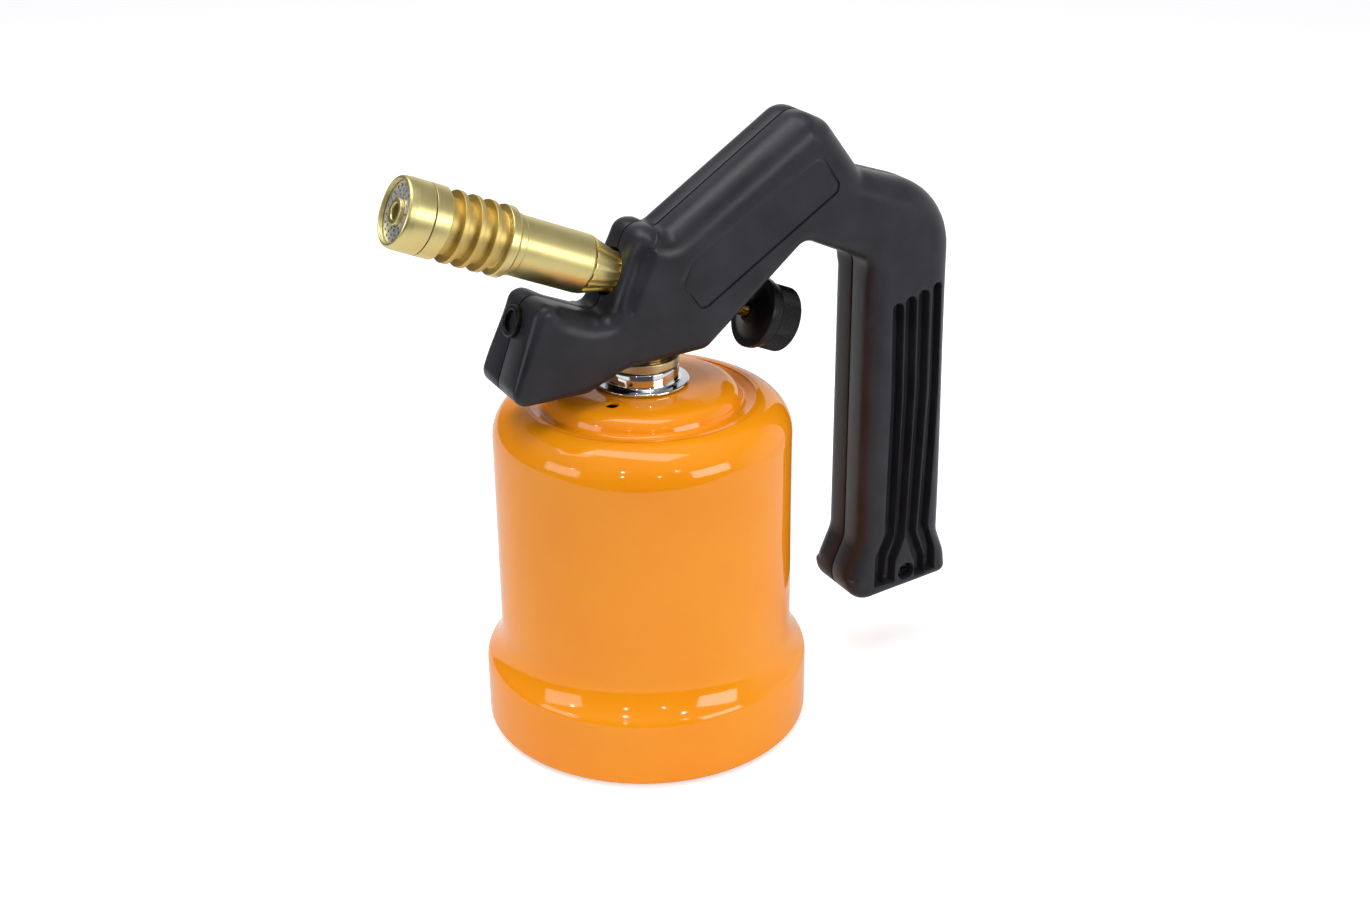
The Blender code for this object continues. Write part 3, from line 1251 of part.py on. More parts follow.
def build():
    for obj in list(bpy.data.objects):
        bpy.data.objects.remove(obj)
    tilt = Matrix.Rotation(AXIS_TILT - math.pi / 2, 4, 'Y')
    axis = empty("valve_axis", Matrix.Translation((0, 0, AXIS_HEIGHT)) @ tilt)
    nose = empty("nose_axis", nose_frame())

    make_casing()
    make_collar()
    make_backing_ring()
    make_bayonet_lugs()
    make_base_pan()
    make_cartridge()

    make_lock_ring()
    make_inlet_connector()
    make_needle()
    make_seal()
    make_filter()
    make_valve_body(axis)
    make_jet(axis)

    make_spindle(axis)
    make_o_ring(axis)
    make_packing_washer(axis)
    make_packing_nut(axis)
    make_knob(axis)
    make_knob_screw(axis)

    make_air_intake(axis)
    make_burner_tube(axis)
    make_finned_body(axis)
    make_mouth_cap(axis)
    make_flame_disc(axis)
    make_pilot_tube(axis)

    make_handle(axis, nose)
    make_handle_screw()
    make_nose_ring(nose)


build()
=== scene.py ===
"""Gas torch: the visible surfaces of a hand-held gas torch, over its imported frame.

Laid out as an add-on and run as a script. Lengths are in metres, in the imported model's
frame: +Z up, the canister's axis at the origin, the burner towards -X, the grip at +X.
Only tables of corners and the handle's own values are in millimetres: a corner is
(radius or across, up, fillet).
"""

import math

import bmesh
import bpy
import numpy as np
from bpy.props import FloatProperty, FloatVectorProperty, IntProperty, PointerProperty
from mathutils import Matrix, Vector
from mathutils.geometry import delaunay_2d_cdt


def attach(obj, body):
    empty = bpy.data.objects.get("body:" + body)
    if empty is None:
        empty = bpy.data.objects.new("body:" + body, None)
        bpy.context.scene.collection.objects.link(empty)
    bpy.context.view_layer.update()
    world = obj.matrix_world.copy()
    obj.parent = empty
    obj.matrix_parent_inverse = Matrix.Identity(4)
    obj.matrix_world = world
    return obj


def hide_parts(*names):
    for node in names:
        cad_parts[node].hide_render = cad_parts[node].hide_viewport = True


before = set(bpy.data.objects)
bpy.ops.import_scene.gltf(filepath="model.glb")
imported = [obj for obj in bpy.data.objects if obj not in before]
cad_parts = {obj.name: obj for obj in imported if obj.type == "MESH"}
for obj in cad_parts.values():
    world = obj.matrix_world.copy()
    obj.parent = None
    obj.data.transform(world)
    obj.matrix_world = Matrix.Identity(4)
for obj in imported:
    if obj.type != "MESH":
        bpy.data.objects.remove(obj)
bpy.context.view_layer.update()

bl_info = {
    "name": "Gas torch",
    "version": (1, 0, 0),
    "blender": (4, 5, 0),
    "location": "3D View > Sidebar > Torch",
    "description": "Builds the visible pieces of a hand-held gas torch",
    "category": "Add Mesh",
}

MM = 0.001
ARC_STEP = math.radians(7)
TURN_STEPS = 128
MERGE = 0.0005 * MM
SHARP = 35
LEAST_TURN = 0.001
ON_AXIS = 1e-7

# Burner, valve and knob share one axis, tilted up towards the mouth
AXIS_TILT = math.radians(23.2)
AXIS_HEIGHT = 147.7 * MM
BURNER_FRAME = (Matrix.Translation((0, 0, AXIS_HEIGHT))
                @ Matrix.Rotation(AXIS_TILT - math.pi / 2, 4, 'Y'))
UPRIGHT = Matrix.Identity(4)


# Colours and materials

# Noise lies mostly between these two values, so colours and roughness drift between them
TONE_LOW = 0.3
TONE_HIGH = 0.7


def to_linear(hex_colour):
    """An sRGB hex colour as the linear colour that shaders use."""
    channels = [int(hex_colour[i:i + 2], 16) / 255 for i in (0, 2, 4)]
    return [c / 12.92 if c <= 0.04045 else ((c + 0.055) / 1.055) ** 2.4 for c in channels]


def set_inputs(tree, node, inputs):
    """Set a node's inputs, or link them from sockets or from other nodes' first outputs."""
    for key, value in inputs.items():
        if isinstance(value, bpy.types.Node):
            value = value.outputs[0]
        if isinstance(value, bpy.types.NodeSocket):
            tree.links.new(value, node.inputs[key])
        else:
            node.inputs[key].default_value = value


def add_node(tree, kind, inputs=None, **settings):
    """Add a node with its settings, then set or link its inputs."""
    node = tree.nodes.new(kind)
    for name, value in settings.items():
        setattr(node, name, value)
    set_inputs(tree, node, inputs or {})
    return node


def new_material(name):
    """A node material, with its tree and its Principled shader."""
    material = bpy.data.materials.new(name)
    material.use_nodes = True
    tree = material.node_tree
    return material, tree, tree.nodes["Principled BSDF"]


def ramp_colours(node, stops):
    """Set a colour ramp's stops from (place, hex colour) pairs."""
    ramp = node.color_ramp
    while len(ramp.elements) > 1:
        ramp.elements.remove(ramp.elements[-1])
    for i, (place, colour) in enumerate(stops):
        element = ramp.elements[0] if i == 0 else ramp.elements.new(place)
        element.position = place
        element.color = (*to_linear(colour), 1)
    return node


def dress(tree, shader, tone, colours, relief, strength, depth, roughness, spread=0.0):
    """Give a shader two colours and a roughness that drift with a tone, and a relief."""
    colour = ramp_colours(add_node(tree, "ShaderNodeValToRGB", {"Fac": tone}),
                          [(TONE_LOW, colours[0]), (TONE_HIGH, colours[1])])
    bump = add_node(tree, "ShaderNodeBump", {
        "Height": relief, "Strength": strength, "Distance": depth})
    if spread:
        roughness = add_node(tree, "ShaderNodeMapRange", {
            "Value": tone, "From Min": TONE_LOW, "From Max": TONE_HIGH,
            "To Min": roughness - spread, "To Max": roughness + spread})
    set_inputs(tree, shader, {"Base Color": colour, "Normal": bump, "Roughness": roughness})


def enamel_material():
    """Stoved enamel on drawn steel: deep glossy orange with a faint orange-peel ripple."""
    material, tree, shader = new_material("stoved_enamel")
    place = add_node(tree, "ShaderNodeTexCoord").outputs["Object"]
    # The coat's thickness drifts in clouds about 36 mm wide
    tone = add_node(tree, "ShaderNodeTexNoise", {"Vector": place, "Scale": 28, "Detail": 3})
    # Orange peel has waves about 1.5 mm long, here a few micrometres high
    peel = add_node(tree, "ShaderNodeTexNoise", {
        "Vector": place, "Scale": 1 / (3.0 * MM), "Detail": 1})
    dress(tree, shader, tone, ("FB950A", "FC9C12"), peel, 0.05, 0.1 * MM, 0.07)
    shader.inputs["IOR"].default_value = 1.46
    return material


def metal_material(name, colours, roughness, line_depth, along, grain=0.25 * MM, spread=0.08):
    """A turned metal: colour and roughness drift, and fine rings left by the turning tool.

    along is the frame whose Z is the turning axis, grain is the distance between rings. The
    real rings are about 0.1 mm apart, too fine to show, so they are drawn wider.
    """
    material, tree, shader = new_material(name)
    place = add_node(tree, "ShaderNodeTexCoord").outputs["Object"]
    on_axis = add_node(tree, "ShaderNodeMapping", {
        "Vector": place, "Rotation": along.to_euler(), "Location": along.to_translation()},
        vector_type='TEXTURE')
    split = add_node(tree, "ShaderNodeSeparateXYZ", {"Vector": on_axis})
    rings = add_node(tree, "ShaderNodeTexNoise", {
        "W": split.outputs["Z"], "Scale": 1 / grain, "Detail": 2}, noise_dimensions='1D')
    cloud = add_node(tree, "ShaderNodeTexNoise", {
        "Vector": place, "Scale": 1 / (9 * MM), "Detail": 4})
    tone = add_node(tree, "ShaderNodeMix", {0: 0.45, 2: cloud, 3: rings})
    dress(tree, shader, tone, colours, rings, 0.5, line_depth, roughness, spread)
    shader.inputs["Metallic"].default_value = 1.0
    return material


def plastic_material(name, colours, roughness, grain, depth):
    """Moulded plastic: a fine spark-eroded grain that softens its reflections.

    The real grain is about 0.1 mm wide, too fine to show, so it is drawn coarser.
    """
    material, tree, shader = new_material(name)
    place = add_node(tree, "ShaderNodeTexCoord").outputs["Object"]
    cloud = add_node(tree, "ShaderNodeTexNoise", {
        "Vector": place, "Scale": 1 / (14 * MM), "Detail": 4})
    pits = add_node(tree, "ShaderNodeTexNoise", {
        "Vector": place, "Scale": 1 / grain, "Detail": 2})
    dress(tree, shader, cloud, colours, pits, 0.6, depth, roughness, 0.04)
    shader.inputs["IOR"].default_value = 1.35
    return material


# Outlines and turned pieces

def fillet(before, corner, after, radius):
    """Points and outward normals of the arc that rounds a corner, on an anticlockwise path."""
    into = (corner - before).normalized()
    out = (after - corner).normalized()
    turn = math.atan2(into.x * out.y - into.y * out.x, into.dot(out))
    start_normal = Vector((into.y, -into.x))
    if abs(turn) < LEAST_TURN or radius == 0:
        return [(corner.copy(), start_normal)]
    side = math.copysign(1, turn)
    start = corner - into * radius * math.tan(abs(turn) / 2)
    centre = start - start_normal * radius * side
    steps = max(2, math.ceil(abs(turn) / ARC_STEP))
    arc = []
    for i in range(steps + 1):
        normal = Matrix.Rotation(turn * i / steps, 2) @ start_normal
        arc.append((centre + normal * radius * side, normal))
    return arc


def rounded(corners, closed=True):
    """A path through corners in millimetres, as points in metres with their normals."""
    spots = [Vector(corner[:2]) * MM for corner in corners]
    count = len(spots)
    path = []
    for i, spot in enumerate(spots):
        before = spots[i - 1] if closed or i > 0 else spot - (spots[1] - spot)
        after = spots[(i + 1) % count] if closed or i < count - 1 else spot + (spot - spots[i - 1])
        path += fillet(before, spot, after, corners[i][2] * MM)
    return path


def sheet_loop(corners, wall):
    """A closed loop round a sheet: the path and the same path one wall inside it."""
    path = rounded(corners, closed=False)
    outside = [point for point, normal in path]
    inside = [point - normal * wall for point, normal in reversed(path)]
    return outside + inside


def object_from(bm, name, material, matrix=None):
    """Make a clean smooth-shaded object from a bmesh, with its faces pointing out."""
    bmesh.ops.remove_doubles(bm, verts=bm.verts, dist=MERGE)
    bmesh.ops.dissolve_degenerate(bm, edges=bm.edges, dist=0.4 * MERGE)
    bmesh.ops.recalc_face_normals(bm, faces=bm.faces)
    if bm.calc_volume(signed=True) < 0:
        bmesh.ops.reverse_faces(bm, faces=bm.faces)
    if matrix is not None:
        bm.transform(matrix)
    mesh = bpy.data.meshes.new(name)
    bm.to_mesh(mesh)
    bm.free()
    mesh.shade_smooth()
    mesh.set_sharp_from_angle(angle=math.radians(SHARP))
    obj = bpy.data.objects.new(name, mesh)
    bpy.context.scene.collection.objects.link(obj)
    obj.data.materials.append(material)
    return obj


def turned(name, loop, material, matrix=None, steps=TURN_STEPS, closed=True):
    """Turn a loop of (radius, height) points round Z and place it by a frame."""
    bm = bmesh.new()
    rows = []
    for k in range(steps):
        angle = math.tau * k / steps
        rows.append([bm.verts.new((point[0] * math.cos(angle), point[0] * math.sin(angle), point[1]))
                     for point in loop])
    count = len(loop) if closed else len(loop) - 1
    for row, following in zip(rows, rows[1:] + rows[:1]):
        for i in range(count):
            j = (i + 1) % len(loop)
            if loop[i][0] > ON_AXIS or loop[j][0] > ON_AXIS:
                bm.faces.new((row[i], following[i], following[j], row[j]))
    return object_from(bm, name, material, matrix)


def turned_solid(name, corners, material, matrix=None, steps=TURN_STEPS, closed=True):
    """Turn a solid's corners round Z. One that isn't closed starts and ends on the axis."""
    loop = [point for point, normal in rounded(corners, closed)]
    return turned(name, loop, material, matrix, steps, closed)


def bar(name, radius, bottom, top, material, matrix=None, steps=64):
    """A plain round bar that serves as a cutter."""
    loop = [(0, bottom), (radius, bottom), (radius, top), (0, top)]
    return turned(name, loop, material, matrix, steps)


def box(name, size, centre, material):
    """A box that serves as a cutter."""
    bm = bmesh.new()
    bmesh.ops.create_cube(bm, size=1)
    bmesh.ops.scale(bm, vec=size, verts=bm.verts)
    bmesh.ops.translate(bm, vec=centre, verts=bm.verts)
    return object_from(bm, name, material)


def settle(obj, name, matrix=None, sharp=SHARP):
    """Replace what an object's modifiers show with one plain mesh, at the origin."""
    depsgraph = bpy.context.evaluated_depsgraph_get()
    depsgraph.update()
    mesh = bpy.data.meshes.new_from_object(obj.evaluated_get(depsgraph), depsgraph=depsgraph)
    mesh.name = name
    if matrix is not None:
        mesh.transform(matrix)
    mesh.shade_smooth()
    mesh.set_sharp_from_angle(angle=math.radians(sharp))
    old = obj.data
    obj.modifiers.clear()
    obj.data = mesh
    obj.name = name
    if old.users == 0:
        bpy.data.meshes.remove(old)


def subtract(obj, cutters):
    """Cut an object with others by exact Booleans, and delete the cutters."""
    for cutter in cutters:
        modifier = obj.modifiers.new(cutter.name, 'BOOLEAN')
        modifier.object = cutter
        modifier.operation = 'DIFFERENCE'
        modifier.solver = 'EXACT'
    settle(obj, obj.name, sharp=38)
    for cutter in cutters:
        bpy.data.objects.remove(cutter)


def hand_over(obj, body, slot, *nodes):
    """Let a piece ride with a body and stand for CAD nodes. Its slot is not used."""
    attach(obj, body)
    if nodes:
        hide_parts(*nodes)


# Geometry Nodes

def node_group(name, sizes):
    """An empty geometry tree with named inputs: (name, socket type, default)."""
    tree = bpy.data.node_groups.new(name, "GeometryNodeTree")
    tree.interface.new_socket("Geometry", in_out='OUTPUT', socket_type="NodeSocketGeometry")
    for label, kind, default in sizes:
        socket = tree.interface.new_socket(label, in_out='INPUT', socket_type=kind)
        socket.default_value = default
    return tree, tree.nodes.new("NodeGroupInput").outputs


def finish_tree(tree, geometry, material):
    """End a tree in Realize Instances and Set Material."""
    real = add_node(tree, "GeometryNodeRealizeInstances", {"Geometry": geometry})
    painted = add_node(tree, "GeometryNodeSetMaterial", {"Geometry": real, "Material": material})
    add_node(tree, "NodeGroupOutput", {0: painted})


def finish_cut(tree, body, cutters, material):
    """End a tree in a body from which the repeated cutters are taken."""
    real = add_node(tree, "GeometryNodeRealizeInstances", {"Geometry": cutters})
    held = add_node(tree, "GeometryNodeObjectInfo", {"Object": body})
    cut = add_node(tree, "GeometryNodeMeshBoolean", {
        "Mesh 1": held.outputs["Geometry"], "Mesh 2": real}, operation='DIFFERENCE')
    finish_tree(tree, cut, material)


def grown(name, tree, values, material, matrix=None, sharp=SHARP):
    """Run a geometry tree with its inputs set by identifier, and keep the result as a mesh."""
    obj = bpy.data.objects.new(name, bpy.data.meshes.new(name))
    bpy.context.scene.collection.objects.link(obj)
    modifier = obj.modifiers.new(name, 'NODES')
    modifier.node_group = tree
    for item in tree.interface.items_tree:
        if item.in_out == 'INPUT' and item.name in values:
            modifier[item.identifier] = values[item.name]
    settle(obj, name, matrix, sharp)
    if not obj.data.materials:
        obj.data.materials.append(material)
    return obj


def merged(name, objects):
    """Join several finished objects of one body into one mesh object."""
    first = objects[0]
    bm = bmesh.new()
    for obj in objects:
        bm.from_mesh(obj.data)
    for obj in objects[1:]:
        bpy.data.objects.remove(obj)
    bm.to_mesh(first.data)
    bm.free()
    first.name = name
    return first


# Sizes and colours that a user would change

class TorchSizes(bpy.types.PropertyGroup):
    """Sizes of the torch's visible pieces."""
    casing_radius: FloatProperty(
        name="Casing radius", description="Outside radius of the canister's wall",
        default=47.0 * MM, subtype='DISTANCE', unit='LENGTH')
    skirt_radius: FloatProperty(
        name="Skirt radius", description="Outside radius of the widened foot",
        default=52.2 * MM, subtype='DISTANCE', unit='LENGTH')
    fin_count: IntProperty(
        name="Fins", description="Cooling fins on the burner", default=3, min=0)
    fin_pitch: FloatProperty(
        name="Fin pitch", description="Distance from fin to fin",
        default=5.08 * MM, subtype='DISTANCE', unit='LENGTH')
    fin_radius: FloatProperty(
        name="Fin radius", description="Outside radius of the fins and the mouth cap",
        default=10.7 * MM, subtype='DISTANCE', unit='LENGTH')
    flute_count: IntProperty(
        name="Intake flutes", description="Air flutes round the intake", default=16, min=3)
    knurl_count: IntProperty(
        name="Knurls", description="Ridges round the control knob", default=95, min=8)
    knob_radius: FloatProperty(
        name="Knob radius", description="Radius over the knurled grip",
        default=10.5 * MM, subtype='DISTANCE', unit='LENGTH')
    groove_depth: FloatProperty(
        name="Groove depth", description="Depth of the grip's finger grooves",
        default=3.9 * MM, subtype='DISTANCE', unit='LENGTH')


class TorchColours(bpy.types.PropertyGroup):
    """Colour and light of the studio round the torch."""
    floor_colour: FloatVectorProperty(
        name="Floor", description="Colour of the floor", default=(0.9, 0.9, 0.9),
        subtype='COLOR', size=3, min=0, max=1)
    lamp_level: FloatProperty(
        name="Lamp level", description="Strength of the studio lamps", default=1.0, min=0)


# Canister

SHEET_WALL = 0.8 * MM
CASING_STEPS = 192
VENT_RADIUS = 2.1 * MM
VENT_PLACE = (-16.4 * MM, -13.1 * MM, 0)
VENT_REACH = (100 * MM, 120 * MM)


def casing_corners(sizes):
    """The drawn casing from its mouth at the collar down to the curled edge of the skirt."""
    wall = sizes.casing_radius / MM
    skirt = sizes.skirt_radius / MM
    crown = [(11.9, 114.8, 0), (15.0, 114.8, 0), (21.5, 114.8, 20), (29.6, 113.8, 5.3),
             (31.1, 108.3, 1.9), (36.6, 110.2, 3)]
    return crown + [(wall, 110.1, 11.6), (wall, 28.8, 17.8), (skirt, 22.4, 5.2),
                    (skirt, 0.9, 1.7), (skirt - 2.1, 0.9, 0)]


class TORCH_OT_casing(bpy.types.Operator):
    """Build the enamelled casing with its skirt, and the base pan in its foot"""
    bl_idname = "torch.casing"
    bl_label = "Casing"

    def execute(self, context):
        enamel = enamel_material()
        path = casing_corners(context.scene.torch_sizes)[::-1]
        casing = turned("casing_shell", sheet_loop(path, SHEET_WALL), enamel, steps=CASING_STEPS)
        vent = bar("vent_cutter", VENT_RADIUS, *VENT_REACH, enamel, Matrix.Translation(VENT_PLACE), 32)
        subtract(casing, [vent])
        hand_over(casing, "canister", "casing_enamel", "casing")
        pan = [(0, 0, 0), (48.3, 0, 3.0), (48.3, 13, 0)]
        base = turned("base_pan_shell", sheet_loop(pan, SHEET_WALL), enamel)
        hand_over(base, "base", "pan_enamel", "base_pan")
        return {'FINISHED'}


class TORCH_OT_collar(bpy.types.Operator):
    """Build the plated collar on the casing and the brass lock ring above it"""
    bl_idname = "torch.collar"
    bl_label = "Collar"

    def execute(self, context):
        # Chromium plate on steel: mirror bright, and a little dulled at the edges
        chrome = metal_material("chromium_plate", ("D2D4D6", "E2E4E5"), 0.05, 0.001 * MM, UPRIGHT,
                                spread=0.02)
        # Brass ring, turned and left bare, so that it has dulled to a brown gold
        brass = metal_material("dulled_brass", ("BCAA80", "D0C09A"), 0.34, 0.004 * MM, UPRIGHT)
        collar = turned_solid("collar_plated", [
            (10.0, 121.0, 0.3), (10.0, 111.2, 0), (13.5, 111.2, 0.2), (13.5, 112.1, 0.2),
            (11.6, 112.1, 0), (11.6, 115.1, 0), (14.8, 115.1, 0.45), (14.8, 116.1, 0.45),
            (11.6, 116.1, 1.0), (11.6, 121.0, 0.5)], chrome)
        hand_over(collar, "canister", "collar_chrome", "collar")
        lock = turned_solid("lock_ring_turned", [
            (10.0, 121.3, 0.2), (11.8, 121.3, 0.5), (11.8, 124.2, 0.5), (10.0, 124.2, 0.2)], brass)
        hand_over(lock, "head", "ring_brass", "lock_ring")
        return {'FINISHED'}


# Burner, with its heights along the valve axis

# Between these heights, and this far below the fins' edge, the brass is painted a deeper gold, as
# painted shade in the slots between the fins
FIRST_SLOT = 50 * MM
LAST_SLOT = 69.1 * MM
FIN_TIP = 0.6 * MM
# Flutes stand where the cone's side is at least this share of its radius out
FLUTED_SHARE = 0.7
# Rows of holes in the disc: radius in millimetres, count and turn
DISC_ROWS = ((5.15, 13, 0.0), (6.55, 17, 0.2), (7.95, 21, 0.1))


def bright_brass():
    """Free-cutting brass, finely turned: pale greenish gold with soft bands of light."""
    found = bpy.data.materials.get("turned_brass")
    if found:
        return found
    return metal_material("turned_brass", ("D6C882", "E2D496"), 0.37, 0.006 * MM, BURNER_FRAME,
                          grain=0.35 * MM, spread=0.05)


class TORCH_OT_burner_tube(bpy.types.Operator):
    """Build the burner tube and the fluted air intake at its root"""
    bl_idname = "torch.burner_tube"
    bl_label = "Burner tube"

    def execute(self, context):
        tube = turned_solid("burner_tube_turned", [
            (7.0, 20.9, 0), (8.8, 20.9, 0.25), (9.1, 21.6, 0.3), (9.1, 44.2, 0.2), (9.35, 44.5, 0.1),
            (9.35, 46.3, 0), (7.9, 46.3, 0), (7.9, 49.1, 0), (7.0, 49.1, 0)],
            bright_brass(), BURNER_FRAME)
        hand_over(tube, "head", "burner_brass", "burner_tube")
        # The intake's brass is painted paler than the tube's: painted light that lifts the intake out
        # of the shade it stands in
        intake_light_brass = metal_material("browned_brass", ("E6D48C", "F2E2A0"), 0.4, 0.006 * MM, BURNER_FRAME)
        intake = self.intake(context.scene.torch_sizes.flute_count, intake_light_brass)
        hand_over(intake, "head", "intake_brass", "air_intake")
        return {'FINISHED'}

    def intake(self, count, material):
        """The intake's cone, cut by flutes that repeat round it."""
        body = turned_solid("intake_cone", [
            (5.3, 5.2, 0), (6.4, 5.2, 0), (6.4, 12.0, 3), (8.95, 20.2, 0.3), (8.95, 20.6, 0.1),
            (6.7, 20.6, 0), (6.7, 25.9, 0), (5.7, 25.9, 0), (5.7, 13.1, 0), (5.3, 11.5, 0)], material)
        tree, given = node_group("Intake flutes", [
            ("Body", "NodeSocketObject", None),
            ("Count", "NodeSocketInt", 16),
            ("Flute depth", "NodeSocketFloat", 1.3 * MM),
            ("Flute width", "NodeSocketFloat", 1.9 * MM),
            ("Circle radius", "NodeSocketFloat", 7.7 * MM),
            ("Start", "NodeSocketFloat", 10.1 * MM),
            ("Length", "NodeSocketFloat", 12.2 * MM),
            ("Slope", "NodeSocketFloat", math.radians(17.3)),
        ])
        size = add_node(tree, "ShaderNodeCombineXYZ", {
            "X": given["Flute depth"], "Y": given["Flute width"], "Z": given["Length"]})
        straight = add_node(tree, "GeometryNodeMeshCube", {"Size": size})
        lean = add_node(tree, "ShaderNodeCombineXYZ", {"Y": given["Slope"]})
        flute = add_node(tree, "GeometryNodeTransform", {"Geometry": straight, "Rotation": lean})
        circle = add_node(tree, "GeometryNodeMeshCircle", {
            "Vertices": given["Count"], "Radius": given["Circle radius"]})
        half = add_node(tree, "ShaderNodeMath", {0: given["Length"], 1: 0.5}, operation='MULTIPLY')
        level = add_node(tree, "ShaderNodeMath", {0: given["Start"], 1: half}, operation='ADD')
        lift = add_node(tree, "ShaderNodeCombineXYZ", {"Z": level})
        spots = add_node(tree, "GeometryNodeSetPosition", {"Geometry": circle, "Offset": lift})
        # The top and the bottom of the cone stay plain, so the flutes stand in a group on each side
        place = add_node(tree, "GeometryNodeInputPosition")
        split = add_node(tree, "ShaderNodeSeparateXYZ", {"Vector": place})
        aside = add_node(tree, "ShaderNodeMath", {0: split.outputs["Y"]}, operation='ABSOLUTE')
        least = add_node(tree, "ShaderNodeMath", {0: given["Circle radius"], 1: FLUTED_SHARE},
                         operation='MULTIPLY')
        fluted = add_node(tree, "ShaderNodeMath", {0: aside, 1: least}, operation='GREATER_THAN')
        outwards = add_node(tree, "ShaderNodeCombineXYZ", {
            "X": split.outputs["X"], "Y": split.outputs["Y"]})
        facing = add_node(tree, "FunctionNodeAlignRotationToVector", {"Vector": outwards},
                          axis='X', pivot_axis='Z')
        copies = add_node(tree, "GeometryNodeInstanceOnPoints", {
            "Points": spots, "Selection": fluted, "Instance": flute, "Rotation": facing})
        finish_cut(tree, given["Body"], copies, material)
        made = grown("air_intake_fluted", tree, {"Body": body, "Count": count}, material,
                     BURNER_FRAME, 32)
        bpy.data.objects.remove(body)
        return made


class TORCH_OT_fins(bpy.types.Operator):
    """Build the finned body of the burner, with its cooling fins as repeated rings"""
    bl_idname = "torch.fins"
    bl_label = "Cooling fins"

    def execute(self, context):
        sizes = context.scene.torch_sizes
        brass = bright_brass()
        outer = sizes.fin_radius / MM
        body = turned_solid("finned_core", [
            (7.3, 49.4, 0), (8.2, 49.4, 0), (8.2, 46.6, 0), (outer - 0.9, 46.6, 0.1),
            (outer, 47.4, 0.3), (outer, 50.0, 0.35), (8.3, 50.0, 0.4), (8.3, 69.0, 0.4),
            (outer, 69.0, 0.35), (outer, 74.02, 0.15), (9.5, 74.02, 0), (9.5, 78.5, 0),
            (7.3, 78.5, 0)], brass, BURNER_FRAME)
        finned = merged("finned_body_turned", [body, self.fins(sizes, brass)])
        # The slots between the fins are painted a deeper, darker gold: painted shade in the recesses
        slot_shade_brass = metal_material("heat_tinted_brass", ("CDB266", "DCC680"), 0.5, 0.006 * MM,
                                BURNER_FRAME)
        finned.data.materials.append(slot_shade_brass)
        # Faces in the slots, below the fins' edge, take the painted shade
        back = BURNER_FRAME.inverted()
        for face in finned.data.polygons:
            spot = back @ face.center
            if FIRST_SLOT < spot.z < LAST_SLOT and spot.xy.length < sizes.fin_radius - FIN_TIP:
                face.material_index = 1
        hand_over(finned, "head", "burner_brass", "finned_body")
        return {'FINISHED'}

    def fins(self, sizes, material):
        """Rings of one section, repeated along the burner."""
        tree, given = node_group("Cooling fins", [
            ("Count", "NodeSocketInt", 3),
            ("Pitch", "NodeSocketFloat", 5.08 * MM),
            ("First fin", "NodeSocketFloat", 54.4 * MM),
            ("Thickness", "NodeSocketFloat", 1.5 * MM),
            ("Outer radius", "NodeSocketFloat", 10.7 * MM),
            ("Root radius", "NodeSocketFloat", 8.0 * MM),
            ("Edge", "NodeSocketFloat", 0.2 * MM),
        ])
        radii = {0: given["Outer radius"], 1: given["Root radius"]}
        depth = add_node(tree, "ShaderNodeMath", radii, operation='SUBTRACT')
        total = add_node(tree, "ShaderNodeMath", radii, operation='ADD')
        middle = add_node(tree, "ShaderNodeMath", {0: total, 1: 0.5}, operation='MULTIPLY')
        section = add_node(tree, "GeometryNodeCurvePrimitiveQuadrilateral", {
            "Width": depth, "Height": given["Thickness"]})
        soft_section = add_node(tree, "GeometryNodeFilletCurve", {
            "Curve": section, "Radius": given["Edge"], "Count": 5}, mode='POLY')
        circle = add_node(tree, "GeometryNodeCurvePrimitiveCircle", {
            "Radius": middle, "Resolution": TURN_STEPS})
        level = add_node(tree, "GeometryNodeSetCurveNormal", {"Curve": circle}, mode='Z_UP')
        fin = add_node(tree, "GeometryNodeCurveToMesh", {"Curve": level, "Profile Curve": soft_section})
        start = add_node(tree, "ShaderNodeCombineXYZ", {"Z": given["First fin"]})
        stride = add_node(tree, "ShaderNodeCombineXYZ", {"Z": given["Pitch"]})
        line = add_node(tree, "GeometryNodeMeshLine", {
            "Count": given["Count"], "Start Location": start, "Offset": stride})
        copies = add_node(tree, "GeometryNodeInstanceOnPoints", {"Points": line, "Instance": fin})
        finish_tree(tree, copies, material)
        return grown("cooling_fins", tree, {
            "Count": sizes.fin_count, "Pitch": sizes.fin_pitch, "Outer radius": sizes.fin_radius},
            material, BURNER_FRAME)


